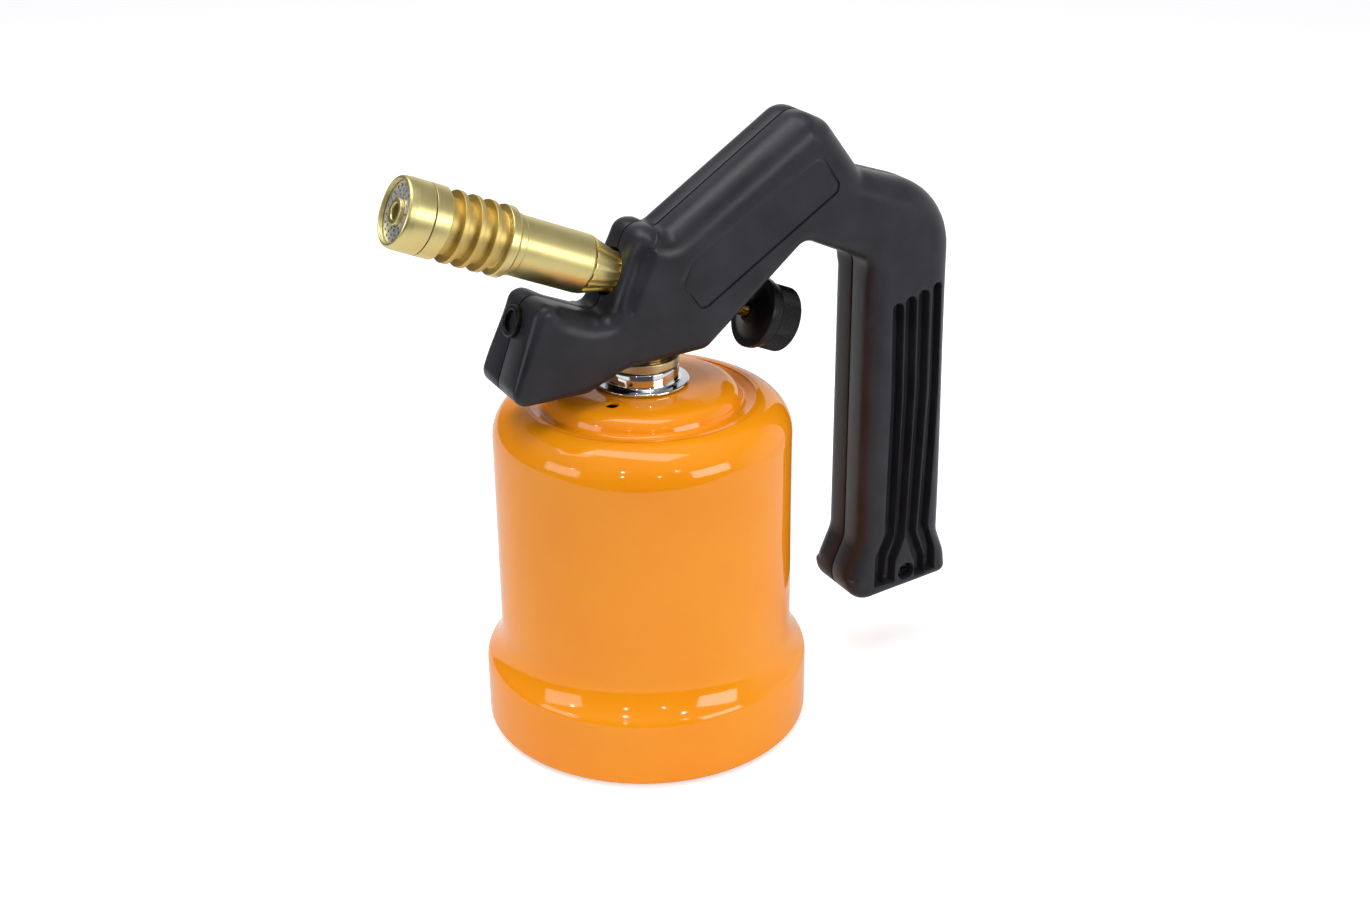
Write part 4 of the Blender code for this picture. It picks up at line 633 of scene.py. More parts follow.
class TORCH_OT_mouth(bpy.types.Operator):
    """Build the mouth cap, the perforated flame disc and the pilot tube"""
    bl_idname = "torch.mouth"
    bl_label = "Burner mouth"

    def execute(self, context):
        brass = bright_brass()
        outer = context.scene.torch_sizes.fin_radius / MM
        cap = turned_solid("mouth_cap_turned", [
            (9.3, 81.3, 0), (9.8, 81.3, 0), (9.8, 74.32, 0), (outer, 74.32, 0.15), (outer, 79.6, 3),
            (outer - 0.3, 82.5, 1.0), (9.3, 82.5, 0.3)], brass, BURNER_FRAME)
        hand_over(cap, "head", "burner_brass", "mouth_cap")
        # Perforated stainless sheet, tarnished by the flame, its colour painted paler than bare steel:
        # painted light that lifts the disc out of the mouth's shade
        steel = metal_material("perforated_steel", ("E6E8E9", "F6F7F8"), 0.45, 0.003 * MM, BURNER_FRAME)
        hand_over(self.disc(steel), "head", "disc_steel", "flame_disc")
        tube = turned_solid("pilot_tube_turned", [
            (2.3, 74.8, 0), (3.95, 74.8, 0), (3.95, 82.2, 0.4), (2.3, 82.2, 0.5)],
            brass, BURNER_FRAME, 64)
        hand_over(tube, "head", "burner_brass", "pilot_tube")
        return {'FINISHED'}

    def disc(self, material):
        """A thin ring with rows of holes round it."""
        body = turned_solid("disc_blank", [
            (4.2, 80.2, 0), (9.6, 80.2, 0), (9.6, 81.0, 0), (4.2, 81.0, 0)], material, steps=96)
        tree, given = node_group("Disc perforations", [
            ("Body", "NodeSocketObject", None),
            ("Hole radius", "NodeSocketFloat", 0.5 * MM),
            ("Level", "NodeSocketFloat", 80.6 * MM),
            ("Depth", "NodeSocketFloat", 4.0 * MM),
        ])
        hole = add_node(tree, "GeometryNodeMeshCylinder", {
            "Radius": given["Hole radius"], "Depth": given["Depth"], "Vertices": 10})
        rows = add_node(tree, "GeometryNodeJoinGeometry")
        for radius, count, turn in DISC_ROWS:
            circle = add_node(tree, "GeometryNodeMeshCircle", {
                "Radius": radius * MM, "Vertices": count})
            moved = add_node(tree, "GeometryNodeTransform", {
                "Geometry": circle, "Rotation": (0, 0, turn)})
            set_inputs(tree, rows, {0: moved})
        lift = add_node(tree, "ShaderNodeCombineXYZ", {"Z": given["Level"]})
        spots = add_node(tree, "GeometryNodeSetPosition", {"Geometry": rows, "Offset": lift})
        copies = add_node(tree, "GeometryNodeInstanceOnPoints", {"Points": spots, "Instance": hole})
        finish_cut(tree, given["Body"], copies, material)
        made = grown("flame_disc_perforated", tree, {"Body": body}, material, BURNER_FRAME, 30)
        bpy.data.objects.remove(body)
        return made


# Knob, in millimetres, with its heights along the valve axis

KNURL_RADIUS = 0.45
FLANGE_STEP = 0.25
SCREW_TOP = -53.4


class TORCH_OT_knob(bpy.types.Operator):
    """Build the knurled control knob, its screw and the valve spindle"""
    bl_idname = "torch.knob"
    bl_label = "Control knob"

    def execute(self, context):
        sizes = context.scene.torch_sizes
        # Pressed phenolic plastic: black, with a soft shine on the worn ridges
        black = plastic_material("phenolic_plastic", ("09090A", "101012"), 0.32, 0.3 * MM, 0.006 * MM)
        # Drawn brass rod, polished by its seal: deep gold with narrow highlights
        brass = metal_material("polished_brass", ("C9A650", "DDBE6B"), 0.16, 0.002 * MM, BURNER_FRAME)
        # Zinc plate: bluish grey and half bright
        steel = metal_material("zinc_plate", ("A3A6A9", "BFC2C4"), 0.3, 0.002 * MM, BURNER_FRAME)
        grip = sizes.knob_radius / MM
        core = grip - KNURL_RADIUS
        knob = [
            (8.6, -42.6, 4), (4.4, -41.2, 2), (3.6, -40.4, 0.6), (2.6, -40.4, 0.1), (2.6, -51.8, 0),
            (1.2, -51.8, 0), (1.2, -52.2, 0), (2.7, -52.2, 0), (2.7, -54.6, 0.3), (core, -54.6, 0.9),
            (core, -47.2, 0.2), (grip + FLANGE_STEP, -46.8, 0.2), (grip + FLANGE_STEP, -45.6, 0.3),
            (11.0, -45.2, 0.4), (11.5, -44.9, 0.4), (11.5, -42.6, 0.5),
        ]
        body = turned_solid("knob_body", knob[::-1], black, BURNER_FRAME)
        ridges = self.knurl(sizes.knurl_count, core * MM, black)
        piece = merged("control_knob_knurled", [body, ridges])
        hand_over(piece, "stem", "knob_plastic", "control_knob")
        spindle = turned_solid("valve_spindle_turned", [
            (0, -51.5, 0), (2.3, -51.5, 0.1), (2.3, -0.3, 0), (0.4, 2.3, 0), (0, 2.3, 0)],
            brass, BURNER_FRAME, 48, closed=False)
        hand_over(spindle, "stem", "spindle_brass", "valve_spindle")
        screw = turned_solid("knob_screw_head", [
            (0, SCREW_TOP, 0), (2.4, SCREW_TOP, 0.35), (2.4, -52.5, 0.1), (0.9, -52.5, 0),
            (0.9, -51.7, 0), (0, -51.7, 0)], steel, steps=48, closed=False)
        slot = box("screw_slot", (6 * MM, 0.7 * MM, 1.0 * MM), (0, 0, SCREW_TOP * MM), steel)
        subtract(screw, [slot])
        screw.data.transform(BURNER_FRAME)
        hand_over(screw, "stem", "screw_steel", "knob_screw")
        return {'FINISHED'}

    def knurl(self, count, core, material):
        """Fine ridges along the knob's grip, repeated round it."""
        tree, given = node_group("Knob knurl", [
            ("Count", "NodeSocketInt", 95),
            ("Core radius", "NodeSocketFloat", core),
            ("Ridge radius", "NodeSocketFloat", KNURL_RADIUS * MM),
            ("Start", "NodeSocketFloat", -54.2 * MM),
            ("Length", "NodeSocketFloat", 7.0 * MM),
        ])
        end = add_node(tree, "ShaderNodeMath", {0: given["Start"], 1: given["Length"]}, operation='ADD')
        low = add_node(tree, "ShaderNodeCombineXYZ", {"Z": given["Start"]})
        high = add_node(tree, "ShaderNodeCombineXYZ", {"Z": end})
        line = add_node(tree, "GeometryNodeCurvePrimitiveLine", {"Start": low, "End": high})
        section = add_node(tree, "GeometryNodeCurvePrimitiveCircle", {
            "Radius": given["Ridge radius"], "Resolution": 6})
        ridge = add_node(tree, "GeometryNodeCurveToMesh", {
            "Curve": line, "Profile Curve": section, "Fill Caps": True})
        circle = add_node(tree, "GeometryNodeMeshCircle", {
            "Vertices": given["Count"], "Radius": given["Core radius"]})
        place = add_node(tree, "GeometryNodeInputPosition")
        facing = add_node(tree, "FunctionNodeAlignRotationToVector", {"Vector": place},
                          axis='X', pivot_axis='Z')
        copies = add_node(tree, "GeometryNodeInstanceOnPoints", {
            "Points": circle, "Instance": ridge, "Rotation": facing})
        finish_tree(tree, copies, material)
        return grown("knob_knurl", tree, {"Count": count, "Core radius": core}, material,
                     BURNER_FRAME, 50)


# Handle, in millimetres: x, and z for up

HALF_WIDTH = 13.0
WALL = 2.4
PARTING = 0.22
CAVITY = 8.4
# Rings over each half's rim: distance inside the outline, and from the middle plane
RIM_RINGS = [(WALL, PARTING), (0.6, PARTING), (0.14, PARTING + 0.16), (0, PARTING + 0.48)]
# Corners of the outline, anticlockwise from the nose's toe: x, z, fillet, side rounding
HANDLE_CORNERS = [
    (-49.4, 119.0, 4.4, 2.0), (-23.5, 119.0, 5.0, 3.0), (-10.5, 124.5, 5.0, 3.0),
    (16.7, 126.2, 5.0, 3.0), (51.5, 155.6, 5.0, 3.4), (76.1, 144.2, 5.0, 5.0),
    (76.1, 138.0, 0, 6.3), (76.1, 43.5, 9.0, 6.3), (71.5, 33.0, 8.0, 6.3), (71.5, 21.7, 8.0, 4.2),
    (110.9, 26.4, 3.2, 3.4), (110.9, 33.0, 9.0, 4.2), (108.2, 43.5, 9.0, 6.3),
    (108.0, 162.8, 25.5, 9.5), (72.82, 174.1, 3.2, 8.0), (60.42, 190.7, 8.0, 8.0),
    (51.52, 195.1, 7.0, 7.6), (4.02, 163.4, 3.2, 7.5), (1.02, 166.2, 3.2, 8.5),
    (-4.58, 166.2, 5.4, 8.0), (-13.0, 146.56, 0, 5.5), (-15.57, 140.56, 3.2, 6.0),
    (-20.0, 142.46, 0, 9.0), (-30.0, 146.74, 0, 10.0), (-38.28, 150.29, 4.4, 6.0),
]
# The near half's nose is less rounded, above all at its front edge: x, and the most before it
NEAR_NOSE_LIMITS = [(-35, 3.2), (-14, 7.6)]
# Grooves of the grip: the middle line from the round top to the flat foot
GROOVES = [
    [(85.9, 127.4), (86.7, 96.0), (86.2, 46.5), (82.9, 38.4), (82.9, 27.6)],
    [(90.8, 128.9), (91.5, 96.0), (90.4, 44.5), (87.0, 35.8), (86.9, 27.7)],
    [(95.7, 130.4), (96.4, 96.0), (94.9, 44.5), (99.0, 34.0), (99.6, 28.1)],
    [(101.1, 132.0), (101.6, 96.0), (99.7, 46.0), (103.0, 37.0), (103.8, 28.9)],
]
GROOVE_HALF = 2.0
GROOVE_OVERRUN = 6
# A profile gives the distance inside an edge, and the share of the full depth there
GROOVE_PROFILE = [(-0.4, 0), (-0.2, 0.02), (-0.06, 0.09), (0.08, 0.28), (0.24, 0.66),
                  (0.46, 0.92), (0.85, 1.0)]
# The arm's panel has a line cut round it, crisp along its lower and rear edges, and fading
# from a place, in a direction, over a run
PANEL = [(14.5, 138.8), (63.4, 170.6), (55.4, 182.5), (10.8, 155.2), (7.8, 148.2)]
PANEL_FILLET = 3.0
PANEL_PROFILE = [(-0.1, 0), (0.1, 1.0), (0.42, 1.0), (0.7, 0.35)]
PANEL_LINE = 0.8
PANEL_FADE_FROM = (12, 150)
PANEL_FADE_WAY = (0.55, -0.84)
PANEL_FADE_LEAD = 6
PANEL_FADE_RUN = 20
PANEL_FADE_LEAST = 0.08
# Round recess for the screw: x, z, radius, depth
RECESS = (93.6, 30.7, 3.05, 4.2)
RECESS_PROFILE = [(-0.25, 0), (-0.05, 0.08), (0.08, 1)]
# Hollow behind the block's front rim: where it starts to change, and over what distance,
# back from the rim, at its rear, along the rim from below and from above, and out to the side
BLOCK_FACE = 11.5
CHANNEL_DEPTH = 1.3
CHANNEL_RIM = (1.2, 2.2)
CHANNEL_REAR = (3.4, 3.4)
CHANNEL_FOOT = (-11.0, 5.0)
CHANNEL_HEAD = (-11.0, 3.0)
CHANNEL_SIDE = (HALF_WIDTH - 5, 3.5)
CHANNEL_LEAST = 0.01
# The side's triangles: degrees round the edge where they start and where lines run, steps
# along lines and grid, rows' distance in steps, and how far the grid stays from the lines
BORDER_ANGLE = 46
BORDER_RINGS = 6
LINE_ANGLES = (55, 65, 77, 90)
OUTLINE_STEP = 1.6
GROOVE_STEP = 3.0
PANEL_STEP = 2.0
GRID_STEP = 1.3
ROW_SHARE = 0.866
BORDER_CLEAR = 0.6
FLAT_DROP = 0.02
GROOVE_CLEAR = (0.2, 1.1)
PANEL_CLEAR = 0.95
RECESS_CLEAR = 0.6
# Holes through both halves: name, radius, bottom, top, frame, steps
HANDLE_HOLES = [
    ("intake_hole", 7.5, 0, 14, BURNER_FRAME, 64), ("neck_hole", 10.1, 112, 132, None, 64),
    ("spindle_hole", 3.1, -42, -10, BURNER_FRAME, 48),
]
NOSE_RING_SHARE = 0.72        # how far up the nose's front the ring sits
SCREW_LEVEL = -10.3
HANDLE_MERGE = 0.02
FAR = 1e9
TINY = 1e-12


def smooth(value, start=0, run=1):
    """A soft step from 0 to 1, from a start and over a run."""
    value = np.clip((value - start) / run, 0, 1)
    return value * value * (3 - 2 * value)


def handle_outline(side):
    """Points of the outline, with outward normals and the side rounding there."""
    corners = []
    for x, z, radius, edge in HANDLE_CORNERS:
        if side < 0:
            edge = min([edge] + [most for reach, most in NEAR_NOSE_LIMITS if x < reach])
        corners.append((Vector((x, z)), radius, edge))
    arcs = []
    for i, (corner, radius, edge) in enumerate(corners):
        before = corners[i - 1][0]
        after = corners[(i + 1) % len(corners)][0]
        arcs.append([(point, normal, edge) for point, normal in fillet(before, corner, after, radius)])
    outline = []
    for arc, following in zip(arcs, arcs[1:] + arcs[:1]):
        outline += arc
        start, normal, edge = arc[-1]
        end, _, next_edge = following[0]
        steps = max(1, math.ceil((end - start).length / OUTLINE_STEP))
        for k in range(1, steps):
            share = k / steps
            outline.append((start.lerp(end, share), normal, edge + (next_edge - edge) * smooth(share)))
    return outline


def segment_distance(points, start, end):
    """Distance of many points from one segment, and how far along it each lies."""
    start = np.array(start)
    line = np.array(end) - start
    length = max(float(line @ line), TINY)
    share = np.clip(((points - start) @ line) / length, 0, 1)
    gap = points - (start + share[:, None] * line)
    return np.hypot(gap[:, 0], gap[:, 1]), share


def line_distance(points, line):
    """Distance of many points from a line of segments."""
    return np.min([segment_distance(points, start, end)[0] for start, end in zip(line, line[1:])],
                  axis=0)


def rounding_drop(points, outline):
    """How far the side falls away near the outline, by the local rounding."""
    best = np.full(len(points), FAR)
    edge = np.zeros(len(points))
    for (start, _, first), (end, _, last) in zip(outline, outline[1:] + outline[:1]):
        distance, share = segment_distance(points, start, end)
        closer = distance < best
        best = np.where(closer, distance, best)
        edge = np.where(closer, first + (last - first) * share, edge)
    inside = np.clip(edge - best, 0, edge)
    return edge - np.sqrt(np.maximum(edge ** 2 - inside ** 2, 0))


def groove_inset(points):
    """How far inside the nearest groove each point lies, negative outside."""
    best = np.full(len(points), -FAR)
    for spine in GROOVES:
        foot_x, foot = spine[-1]
        gap = line_distance(points, spine[:-1] + [(foot_x, foot - GROOVE_OVERRUN)])
        best = np.maximum(best, np.minimum(GROOVE_HALF - gap, points[:, 1] - foot))
    return best


def polygon_inset(points, polygon):
    """How far inside a polygon each point lies, negative outside."""
    closed = polygon + polygon[:1]
    inside = np.zeros(len(points), bool)
    for start, end in zip(closed, closed[1:]):
        crosses = (points[:, 1] < start[1]) != (points[:, 1] < end[1])
        rise = (end[1] - start[1]) or TINY
        across = start[0] + (points[:, 1] - start[1]) / rise * (end[0] - start[0])
        inside ^= crosses & (points[:, 0] < across)
    gap = line_distance(points, closed)
    return np.where(inside, gap, -gap)


def profile_share(inset, profile):
    """The share of a profile's depth at many distances inside its edge."""
    return np.interp(inset, *zip(*profile))


def panel_path():
    """The panel's rounded outline, with outward normals."""
    corners = [(x, z, PANEL_FILLET) for x, z in PANEL]
    return [(point / MM, normal) for point, normal in rounded(corners)]


def side_depth(points, outline, panel, groove_depth, with_recess):
    """Depth of the handle's side below its flat, at many points."""
    depth = rounding_drop(points, outline)
    depth = depth + groove_depth * profile_share(groove_inset(points), GROOVE_PROFILE)
    along = (points - PANEL_FADE_FROM) @ np.array(PANEL_FADE_WAY)
    fade = np.clip((along + PANEL_FADE_LEAD) / PANEL_FADE_RUN, PANEL_FADE_LEAST, 1)
    depth = depth + PANEL_LINE * fade * profile_share(polygon_inset(points, panel), PANEL_PROFILE)
    if with_recess:
        x, z, radius, bottom = RECESS
        inset = radius - np.hypot(points[:, 0] - x, points[:, 1] - z)
        depth = depth + (bottom - depth) * profile_share(inset, RECESS_PROFILE)
    return depth


def channel_depth(x, z):
    """Depth of the hollow behind the block's front rim, steep at the rim and soft at its rear."""
    z = z - AXIS_HEIGHT / MM
    back = BLOCK_FACE - (-x * math.cos(AXIS_TILT) + z * math.sin(AXIS_TILT))
    height = x * math.sin(AXIS_TILT) + z * math.cos(AXIS_TILT)
    across = smooth(back, *CHANNEL_RIM) * (1 - smooth(back, *CHANNEL_REAR))
    return CHANNEL_DEPTH * across * smooth(height, *CHANNEL_FOOT) * smooth(-height, *CHANNEL_HEAD)


def groove_line(spine, half, foot_rise):
    """A closed line round a groove's middle line, at a distance from it, flat at its foot."""
    left = []
    right = []
    for i, spot in enumerate(spine):
        spot = Vector(spot)
        if i == len(spine) - 1:
            spot.y += foot_rise
            square = Vector((1, 0))
            lean = 1
        else:
            after = (Vector(spine[i + 1]) - spot).normalized()
            before = (spot - Vector(spine[i - 1])).normalized() if i > 0 else after
            along = (before + after).normalized()
            square = Vector((-along.y, along.x))
            lean = square.dot(Vector((-before.y, before.x)))
        left.append(spot + square * half / lean)
        right.append(spot - square * half / lean)
    if left[0].x > right[0].x:
        left, right = right, left
    turns = [math.pi * k / 10 for k in range(9, 0, -1)]
    cap = [Vector(spine[0]) + Vector((math.cos(turn), math.sin(turn))) * half for turn in turns]
    return left[::-1] + cap + right


def subdivided(loop, step):
    """A closed loop with points at most a step apart."""
    made = []
    for start, end in zip(loop, loop[1:] + loop[:1]):
        count = max(1, math.ceil((end - start).length / step))
        made += [start.lerp(end, k / count) for k in range(count)]
    return made


def side_lines(outline, border, panel, with_recess):
    """Closed lines that the side's triangles follow, with the border first."""
    loops = [border]
    for angle in LINE_ANGLES:
        share = 1 - math.cos(math.radians(angle))
        loops.append([point - normal * edge * share for point, normal, edge in outline][::2])
    for spine in GROOVES:
        loops += [subdivided(groove_line(spine, GROOVE_HALF - inset, inset), GROOVE_STEP)
                  for inset, share in GROOVE_PROFILE]
    loops += [subdivided([point - normal * inset for point, normal in panel], PANEL_STEP)
              for inset, share in PANEL_PROFILE]
    if with_recess:
        x, z, radius, bottom = RECESS
        turns = [math.tau * k / 40 for k in range(40)]
        loops += [[Vector((x, z)) + Vector((math.cos(turn), math.sin(turn))) * (radius - inset)
                   for turn in turns] for inset, share in RECESS_PROFILE]
    return loops


def side_grid(outline, border, panel, with_recess):
    """Points between the lines, twice as close in the hollow behind the block's rim."""
    corners = np.array([point[:] for point in border])
    low = corners.min(axis=0)
    high = corners.max(axis=0)
    grids = []
    for step, in_channel in ((GRID_STEP, False), (GRID_STEP / 2, True)):
        rows, columns = np.mgrid[0:int((high[1] - low[1]) / (step * ROW_SHARE)) + 1,
                                 0:int((high[0] - low[0]) / step) + 1]
        grid = np.stack([low[0] + (columns + 0.5 * (rows % 2)) * step,
                         low[1] + rows * step * ROW_SHARE], -1).reshape(-1, 2)
        hollow = channel_depth(grid[:, 0], grid[:, 1]) > CHANNEL_LEAST
        grids.append(grid[hollow == in_channel])
    grid = np.concatenate(grids)
    middle, reach = GROOVE_CLEAR
    keep = ((polygon_inset(grid, [tuple(point) for point in border]) > BORDER_CLEAR)
            & (rounding_drop(grid, outline) < FLAT_DROP)
            & (np.abs(groove_inset(grid) - middle) > reach)
            & (np.abs(polygon_inset(grid, panel)) > PANEL_CLEAR))
    if with_recess:
        x, z, radius, bottom = RECESS
        keep &= np.abs(np.hypot(grid[:, 0] - x, grid[:, 1] - z) - radius) > RECESS_CLEAR
    return [Vector(point) for point in grid[keep]]


def side_mesh(outline, border, groove_depth, with_recess):
    """Triangles of the handle's side inside a border line, with a depth for each point."""
    path = panel_path()
    panel = [tuple(point) for point, normal in path]
    spots = side_grid(outline, border, panel, with_recess)
    first_border = len(spots)
    face = [list(range(first_border, first_border + len(border)))]
    edges = []
    for loop in side_lines(outline, border, path, with_recess):
        first = len(spots)
        spots += loop
        edges += [(first + i, first + (i + 1) % len(loop)) for i in range(len(loop))]
    result = delaunay_2d_cdt(spots, edges, face, 1, 1e-5)
    points = np.array([point[:] for point in result[0]])
    return points, side_depth(points, outline, panel, groove_depth, with_recess), result[2]


def handle_half(name, side, sizes, material):
    """One hollow half of the handle: outer skin, rim, inner wall and its floor."""
    outline = handle_outline(side)
    bm = bmesh.new()

    def ring(inset, level, share=0, rise=0):
        """A ring inside the outline, moved by shares of the rounding too."""
        row = []
        for point, normal, edge in outline:
            spot = (point - normal * (inset + edge * share)) * MM
            row.append(bm.verts.new((spot.x, side * (level + edge * rise) * MM, spot.y)))
        return row

    rings = [ring(inset, level) for inset, level in RIM_RINGS]
    border_angle = math.radians(BORDER_ANGLE)
    for k in range(BORDER_RINGS):
        angle = border_angle * k / (BORDER_RINGS - 1)
        rings.append(ring(0, HALF_WIDTH, 1 - math.cos(angle), math.sin(angle) - 1))
    for row, following in zip(rings, rings[1:]):
        for i in range(len(row)):
            bm.faces.new((row[i - 1], row[i], following[i], following[i - 1]))
    border_share = 1 - math.cos(border_angle)
    border = [point - normal * edge * border_share for point, normal, edge in outline]
    points, depths, faces = side_mesh(outline, border, sizes.groove_depth / MM, side < 0)
    verts = [bm.verts.new((x * MM, side * (HALF_WIDTH - depth) * MM, z * MM))
             for (x, z), depth in zip(points, depths)]
    for face in faces:
        corners = [verts[i] for i in face]
        if len(set(corners)) == len(corners) and not bm.faces.get(corners):
            bm.faces.new(corners)
    floor = ring(WALL, CAVITY)
    for i in range(len(floor)):
        bm.faces.new((rings[0][i - 1], rings[0][i], floor[i], floor[i - 1]))
    bm.faces.new(floor)
    bmesh.ops.remove_doubles(bm, verts=bm.verts, dist=HANDLE_MERGE * MM)
    for vert in bm.verts:
        share = smooth(abs(vert.co.y) / MM, *CHANNEL_SIDE)
        vert.co.y -= side * channel_depth(vert.co.x / MM, vert.co.z / MM) * share * MM
    return object_from(bm, name, material)


class TORCH_OT_handle(bpy.types.Operator):
    """Build the two moulded halves of the handle, the ring in its nose and its screw"""
    bl_idname = "torch.handle"
    bl_label = "Handle"

    def execute(self, context):
        sizes = context.scene.torch_sizes
        # Glass-filled nylon with a spark-eroded finish: charcoal with a soft sheen
        nylon = plastic_material("moulded_nylon", ("212126", "2F2F35"), 0.36, 0.35 * MM, 0.035 * MM)
        for name, side, node in (("handle_near_moulded", -1, "handle_near"),
                                 ("handle_far_moulded", 1, "handle_far")):
            half = handle_half(name, side, sizes, nylon)
            subtract(half, [bar(hole, radius * MM, bottom * MM, top * MM, nylon, matrix, steps)
                            for hole, radius, bottom, top, matrix, steps in HANDLE_HOLES])
            hand_over(half, "head", "handle_plastic", node)
        self.nose_ring()
        self.screw()
        return {'FINISHED'}

    def nose_ring(self):
        """The ring in the nose's sloping front."""
        # Plain nylon, moulded in a polished tool: blacker and smoother than the handle
        plastic = plastic_material("smooth_nylon", ("0E0E10", "141416"), 0.34, 0.3 * MM, 0.008 * MM)
        toe = Vector(HANDLE_CORNERS[0][:2])
        brow = Vector(HANDLE_CORNERS[-1][:2])
        spot = toe.lerp(brow, NOSE_RING_SHARE) * MM
        rise = brow - toe
        place = (Matrix.Translation((spot.x, 0, spot.y))
                 @ Matrix.Rotation(math.atan2(-rise.y, rise.x), 4, 'Y'))
        ring = turned_solid("nose_ring_moulded", [
            (3.3, -2.2, 0), (5.0, -2.2, 0), (5.0, 1.75, 0.7), (3.3, 1.75, 0.5)], plastic, place, 64)
        hand_over(ring, "head", "ring_plastic", "nose_ring")

    def screw(self):
        """The cross-slotted screw in the grip's recess."""
        # Blackened steel: nearly as dark as the plastic, with a metal's glint
        steel = metal_material("blackened_steel", ("2E2E30", "3C3C3E"), 0.4, 0.002 * MM, UPRIGHT)
        x, z, radius, bottom = RECESS
        place = (Matrix.Translation(Vector((x, SCREW_LEVEL, z)) * MM)
                 @ Matrix.Rotation(-math.pi / 2, 4, 'X'))
        screw = turned_solid("handle_screw_head", [
            (0, 0, 0), (2.7, 0, 0.5), (2.7, 2.0, 0), (1.6, 2.0, 0), (1.6, 15, 0), (0, 16.5, 0)],
            steel, steps=48, closed=False)
        subtract(screw, [box("slot_a", (3.6 * MM, 0.7 * MM, 2.0 * MM), (0, 0, 0), steel),
                         box("slot_b", (0.7 * MM, 3.6 * MM, 2.0 * MM), (0, 0, 0), steel)])
        screw.data.transform(place)
        hand_over(screw, "head", "screw_steel", "handle_screw")


# Pieces inside the torch, which keep their solids

class TORCH_OT_inner_parts(bpy.types.Operator):
    """Give the pieces inside the torch their materials"""
    bl_idname = "torch.inner_parts"
    bl_label = "Inner parts"

    def execute(self, context):
        # Machined brass kept from light and air: a clean yellow
        brass = metal_material("machined_brass", ("B0934B", "C8AD66"), 0.3, 0.004 * MM, UPRIGHT)
        # Bright zinc on pressed steel: pale grey and half bright
        steel = metal_material("bright_zinc", ("A8ABAD", "C2C5C7"), 0.32, 0.003 * MM, UPRIGHT)
        # Sintered bronze grains: dull reddish brown
        sintered = metal_material("sintered_bronze", ("6E4C27", "8A6436"), 0.55, 0.02 * MM, UPRIGHT)
        # Nitrile rubber: matt black
        rubber = plastic_material("nitrile_rubber", ("121212", "1B1B1B"), 0.7, 0.25 * MM, 0.01 * MM)
        # Stoved lacquer on the cartridge's tin: smooth glossy blue
        lacquer = plastic_material("cartridge_lacquer", ("2C5E9E", "3469AA"), 0.25, 2.0 * MM,
                                   0.004 * MM)
        pieces = {
            brass: ("inlet_connector", "valve_body", "gas_jet", "packing_nut"),
            steel: ("collar_backing_ring", "bayonet_lug_1", "bayonet_lug_2", "bayonet_lug_3",
                    "piercing_needle", "packing_washer"),
            sintered: ("gas_filter",),
            rubber: ("cartridge_seal", "spindle_o_ring"),
            lacquer: ("gas_cartridge",),
        }
        for material, nodes in pieces.items():
            for node in nodes:
                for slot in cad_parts[node].material_slots:
                    slot.material = material
        return {'FINISHED'}


# Studio

# Lamps: name, turn from the camera's side, rise, distance, size and power. The two windows and
# the small ceiling lamps are those that the enamel mirrors.
LAMPS = [
    ("left_window", -60, 13, 1.0, (0.50, 0.34), 1.9),
    ("right_window", 52, 14, 1.0, (0.52, 0.34), 3.5),
    ("top_box", -30, 84, 1.0, (0.90, 0.36), 4.2),
    ("left_box", -112, 60, 1.0, (0.80, 0.35), 2.2),
    ("ceiling_lamp_1", -54, 24, 1.6, (0.06, 0.06), 0.4),
    ("ceiling_lamp_2", -15, 34, 1.6, (0.07, 0.07), 0.5),
    ("ceiling_lamp_3", -14, 21, 1.6, (0.06, 0.06), 0.4),
    ("ceiling_lamp_4", 28, 31, 1.6, (0.07, 0.07), 0.5),
    ("ceiling_lamp_5", 13, 20, 1.6, (0.06, 0.06), 0.4),
]
LAMP_TARGET = Vector((0, 0, 0.1))
CAMERA_AZIMUTH = math.radians(-27.53)
CAMERA_ELEVATION = math.radians(24.111)
CAMERA_ROLL = math.radians(-0.454)
CAMERA_PLACE = (-0.2303, -0.4704, 0.3242)
CAMERA_LENS = 47.798
CAMERA_SENSOR = 36
BACKDROP_TURN = math.radians(140)
# The floor is a board that ends a short way before the torch, as the enamel mirrors it
FLOOR_CORNERS = ((-0.7, -0.3, 0), (0.7, -0.3, 0), (0.7, 1.6, 0), (-0.7, 1.6, 0))
FLOOR_GAP = 0.2 * MM
FLOOR_GLOW = 0.5


def softbox(name, turn, rise, distance, size, power):
    """A flat lamp that faces the torch, at a turn from the camera's side and a rise, in degrees."""
    lamp = bpy.data.lights.new(name, 'AREA')
    lamp.shape = 'RECTANGLE' if size[0] > 0.1 else 'ELLIPSE'
    lamp.size, lamp.size_y = size
    lamp.energy = power
    obj = bpy.data.objects.new(name, lamp)
    bpy.context.scene.collection.objects.link(obj)
    around = CAMERA_AZIMUTH - math.pi / 2 + math.radians(turn)
    level = math.cos(math.radians(rise))
    out = Vector((math.cos(around) * level, math.sin(around) * level, math.sin(math.radians(rise))))
    obj.location = out * distance + LAMP_TARGET
    obj.rotation_euler = (-out).to_track_quat('-Z', 'Y').to_euler()


